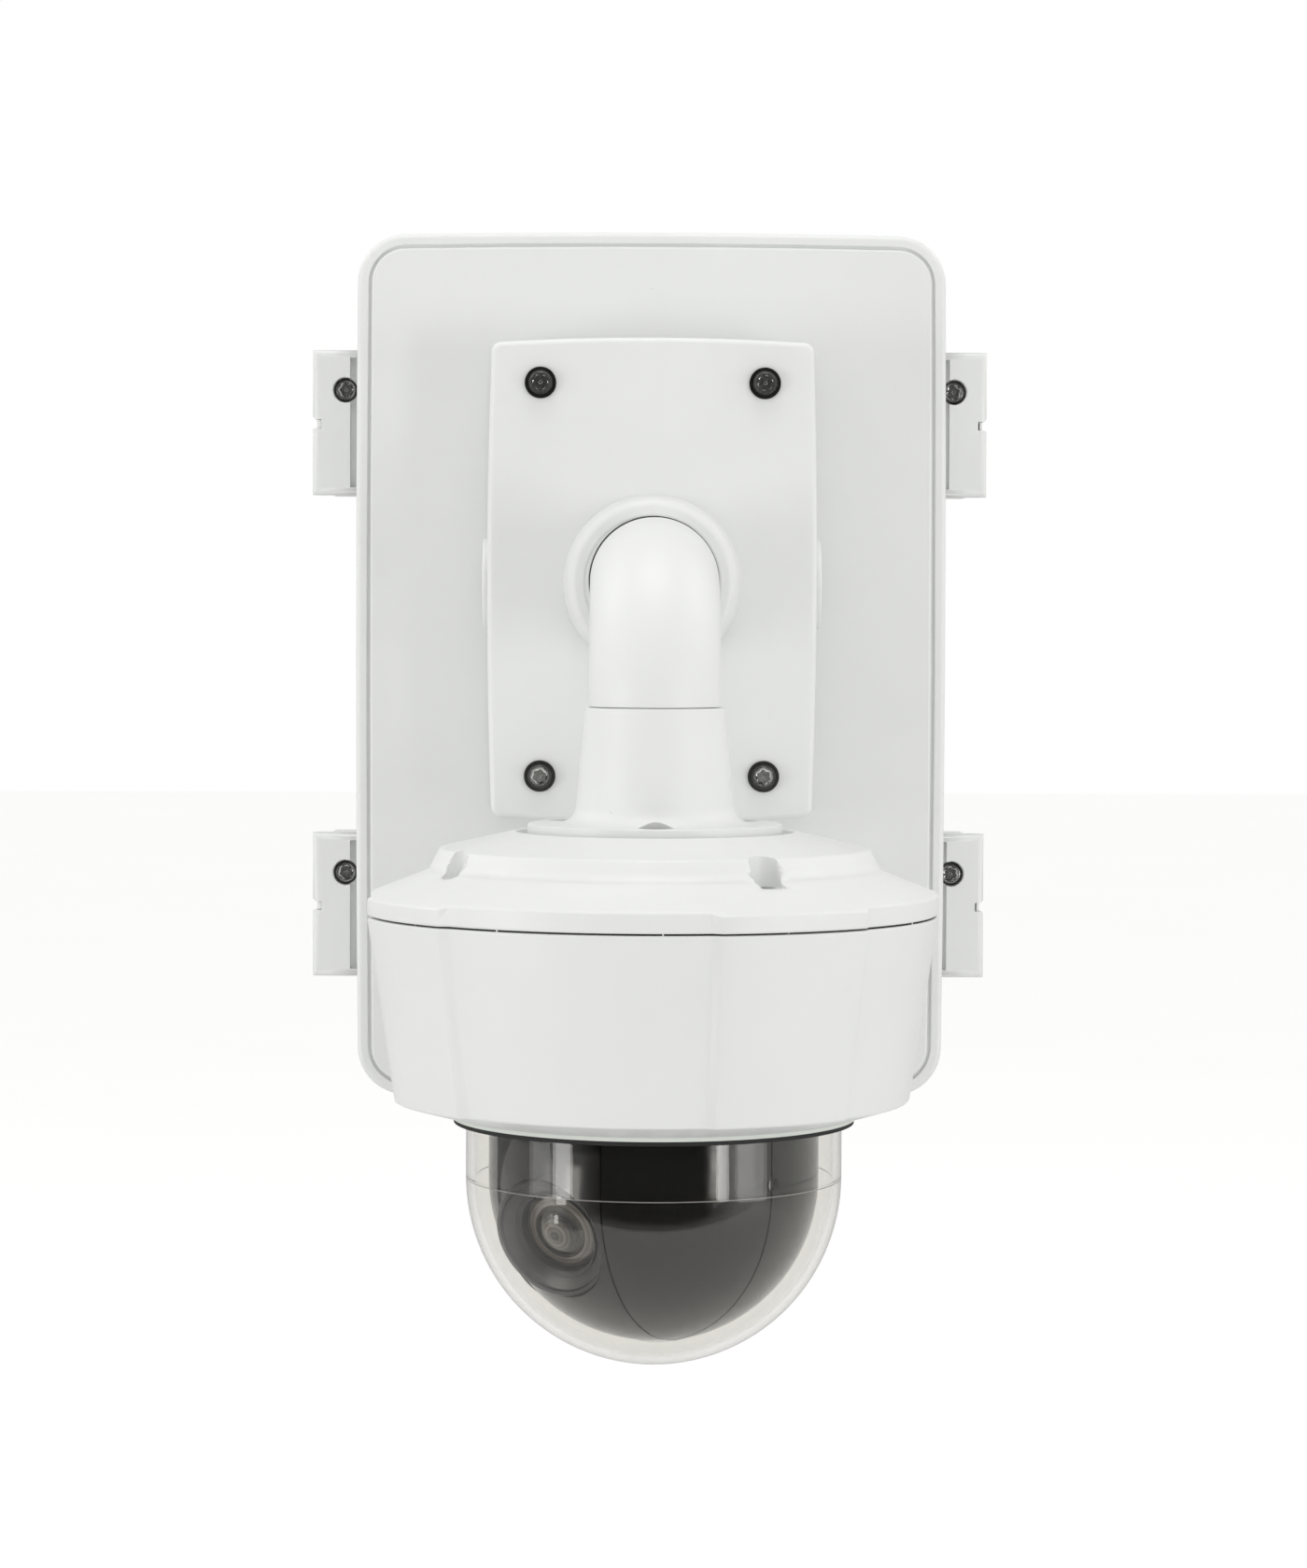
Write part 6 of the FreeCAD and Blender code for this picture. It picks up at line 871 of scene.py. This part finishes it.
# %% Terminal screws
def terminal_screws(name, spots, node):
    shape = bmesh.new()
    for number, spot in enumerate(spots):
        one = bmesh.new()
        spun(one, [(0, 0.1 * MM), (1.5 * MM, 0.1 * MM), (1.6 * MM, 0.5 * MM), (2.2 * MM, 0.5 * MM),
                   (2.4 * MM, 0.3 * MM), (2.4 * MM, -0.6 * MM)], 32)
        bmesh.ops.create_cube(one, size=1.0, matrix=Matrix.Translation((0, 0, 0.22 * MM))
                              @ Matrix.Diagonal((3.2 * MM, 0.7 * MM, 0.4 * MM, 1.0)))
        bmesh.ops.recalc_face_normals(one, faces=one.faces)
        turn = TO_VIEWER @ Matrix.Rotation(math.radians(25 + 50 * number), 4, "Z")
        bmesh.ops.transform(one, verts=one.verts, matrix=Matrix.Translation(Vector(spot) * MM) @ turn)
        join(shape, one)
    store(name, shape, [stainless], node)


terminal_screws("supply_terminal_screws", [(-72 + 7.5 * k, -63.5, 60) for k in range(5)], "power_supply")
terminal_screws("breaker_terminal_screws", [(-7.3, -63.5, z) for z in (-15.5, 55.5)], "circuit_breaker")

# %% [markdown]
# ## Floor, light and world
#
# The photograph is a white cut-out, lit from everywhere, with a little more from the two sides and from
# above. A bright room does most of the work. On each side a strip and a dimmer, wider wing beside it give
# the dark head its streaks, which are sharp towards the middle and soft outwards. Three soft boxes above
# light the casing's shelf and edges. The camera, and what it sees through clear plastic, gets the room as
# plain white. A mirrored path is told by its Glossy Depth, and finds the room bright too, but dark behind
# the photographer, where such a studio is unlit. The floor ends in front of the object, so that the ball
# doesn't mirror a bright floor there.

# %% Floor
FLOOR_SIZE = 14
FLOOR_FRONT = -1.25
FLOOR_LEVEL = -0.62
bpy.ops.mesh.primitive_plane_add(size=FLOOR_SIZE, location=(0, FLOOR_FRONT + FLOOR_SIZE / 2, FLOOR_LEVEL))
floor = bpy.context.object
floor.name = "floor"
floor_paint, tree, shader, place = new_material("floor_paint_white", 0.8)
mottle(tree, shader, place, "#dededd", "#e2e2e1", 400)
path = add(tree, "ShaderNodeLightPath")
seen = add(tree, "ShaderNodeMath",
           {0: path.outputs["Is Camera Ray"], 1: path.outputs["Is Transmission Ray"]}, operation="MAXIMUM")
lift = add(tree, "ShaderNodeMath", {0: seen.outputs[0]}, {1: 0.4}, operation="MULTIPLY")
tree.links.new(lift.outputs[0], shader.inputs["Emission Strength"])
shader.inputs["Emission Color"].default_value = linear("#ffffff")
floor.data.materials.append(floor_paint)


# %% Soft boxes
def soft_box(name, wide, high, place, aim, power):
    lamp = bpy.data.objects.new(name, bpy.data.lights.new(name, "AREA"))
    lamp.data.shape = "RECTANGLE"
    lamp.data.size = wide
    lamp.data.size_y = high
    lamp.data.energy = power
    lamp.location = place
    lamp.rotation_euler = (Vector(aim) - Vector(place)).to_track_quat("-Z", "Y").to_euler()
    bpy.context.scene.collection.objects.link(lamp)


MIDDLE = (0, -0.2, -0.02)
soft_box("left_strip", 0.45, 0.78, (-1.87, -1.53, -0.2), MIDDLE, 6.9)
soft_box("left_wing", 0.6, 0.78, (-2.14, -0.99, -0.2), MIDDLE, 2.6)
soft_box("right_strip", 0.26, 0.78, (1.43, -1.95, -0.2), MIDDLE, 4.8)
soft_box("right_wing", 0.75, 0.78, (1.84, -1.36, -0.2), MIDDLE, 4.2)
soft_box("overhead", 1.2, 1.2, (0, -0.6, 2.1), MIDDLE, 11.2)
soft_box("left_back", 1.0, 1.0, (-1.65, 0.1, 1.4), MIDDLE, 5.9)
soft_box("right_back", 1.0, 1.0, (1.65, 0.1, 1.4), MIDDLE, 4.2)

# %% World
world = bpy.data.worlds.new("studio")
bpy.context.scene.world = world
world.use_nodes = True
tree = world.node_tree
tree.nodes.clear()
path = add(tree, "ShaderNodeLightPath")
mirror = add(tree, "ShaderNodeMath", {0: path.outputs["Glossy Depth"]}, {1: 0.5}, operation="GREATER_THAN")
clear = add(tree, "ShaderNodeMath",
            {0: path.outputs["Is Camera Ray"], 1: path.outputs["Is Transmission Ray"]}, operation="MAXIMUM")
around = add(tree, "ShaderNodeTexCoord")
direction = add(tree, "ShaderNodeSeparateXYZ", {"Vector": around.outputs["Generated"]})
studio_side = add(tree, "ShaderNodeMapRange", {"Value": direction.outputs["Y"]},
                  {"From Min": -0.84, "From Max": -0.55, "To Min": 0.04, "To Max": 0.68},
                  interpolation_type="SMOOTHSTEP")
room = add(tree, "ShaderNodeBackground", inputs={"Color": linear("#ffffff"), "Strength": 0.75})
mirrored = add(tree, "ShaderNodeBackground", {"Strength": studio_side.outputs["Result"]},
               {"Color": linear("#ffffff")})
backdrop = add(tree, "ShaderNodeBackground", inputs={"Color": linear("#ffffff"), "Strength": 1.0})
lit = add(tree, "ShaderNodeMixShader", {0: clear.outputs[0], 1: room.outputs[0], 2: backdrop.outputs[0]})
mix = add(tree, "ShaderNodeMixShader", {0: mirror.outputs[0], 1: lit.outputs[0], 2: mirrored.outputs[0]})
add(tree, "ShaderNodeOutputWorld", {"Surface": mix.outputs[0]})
bpy.context.scene.view_settings.view_transform = "Standard"
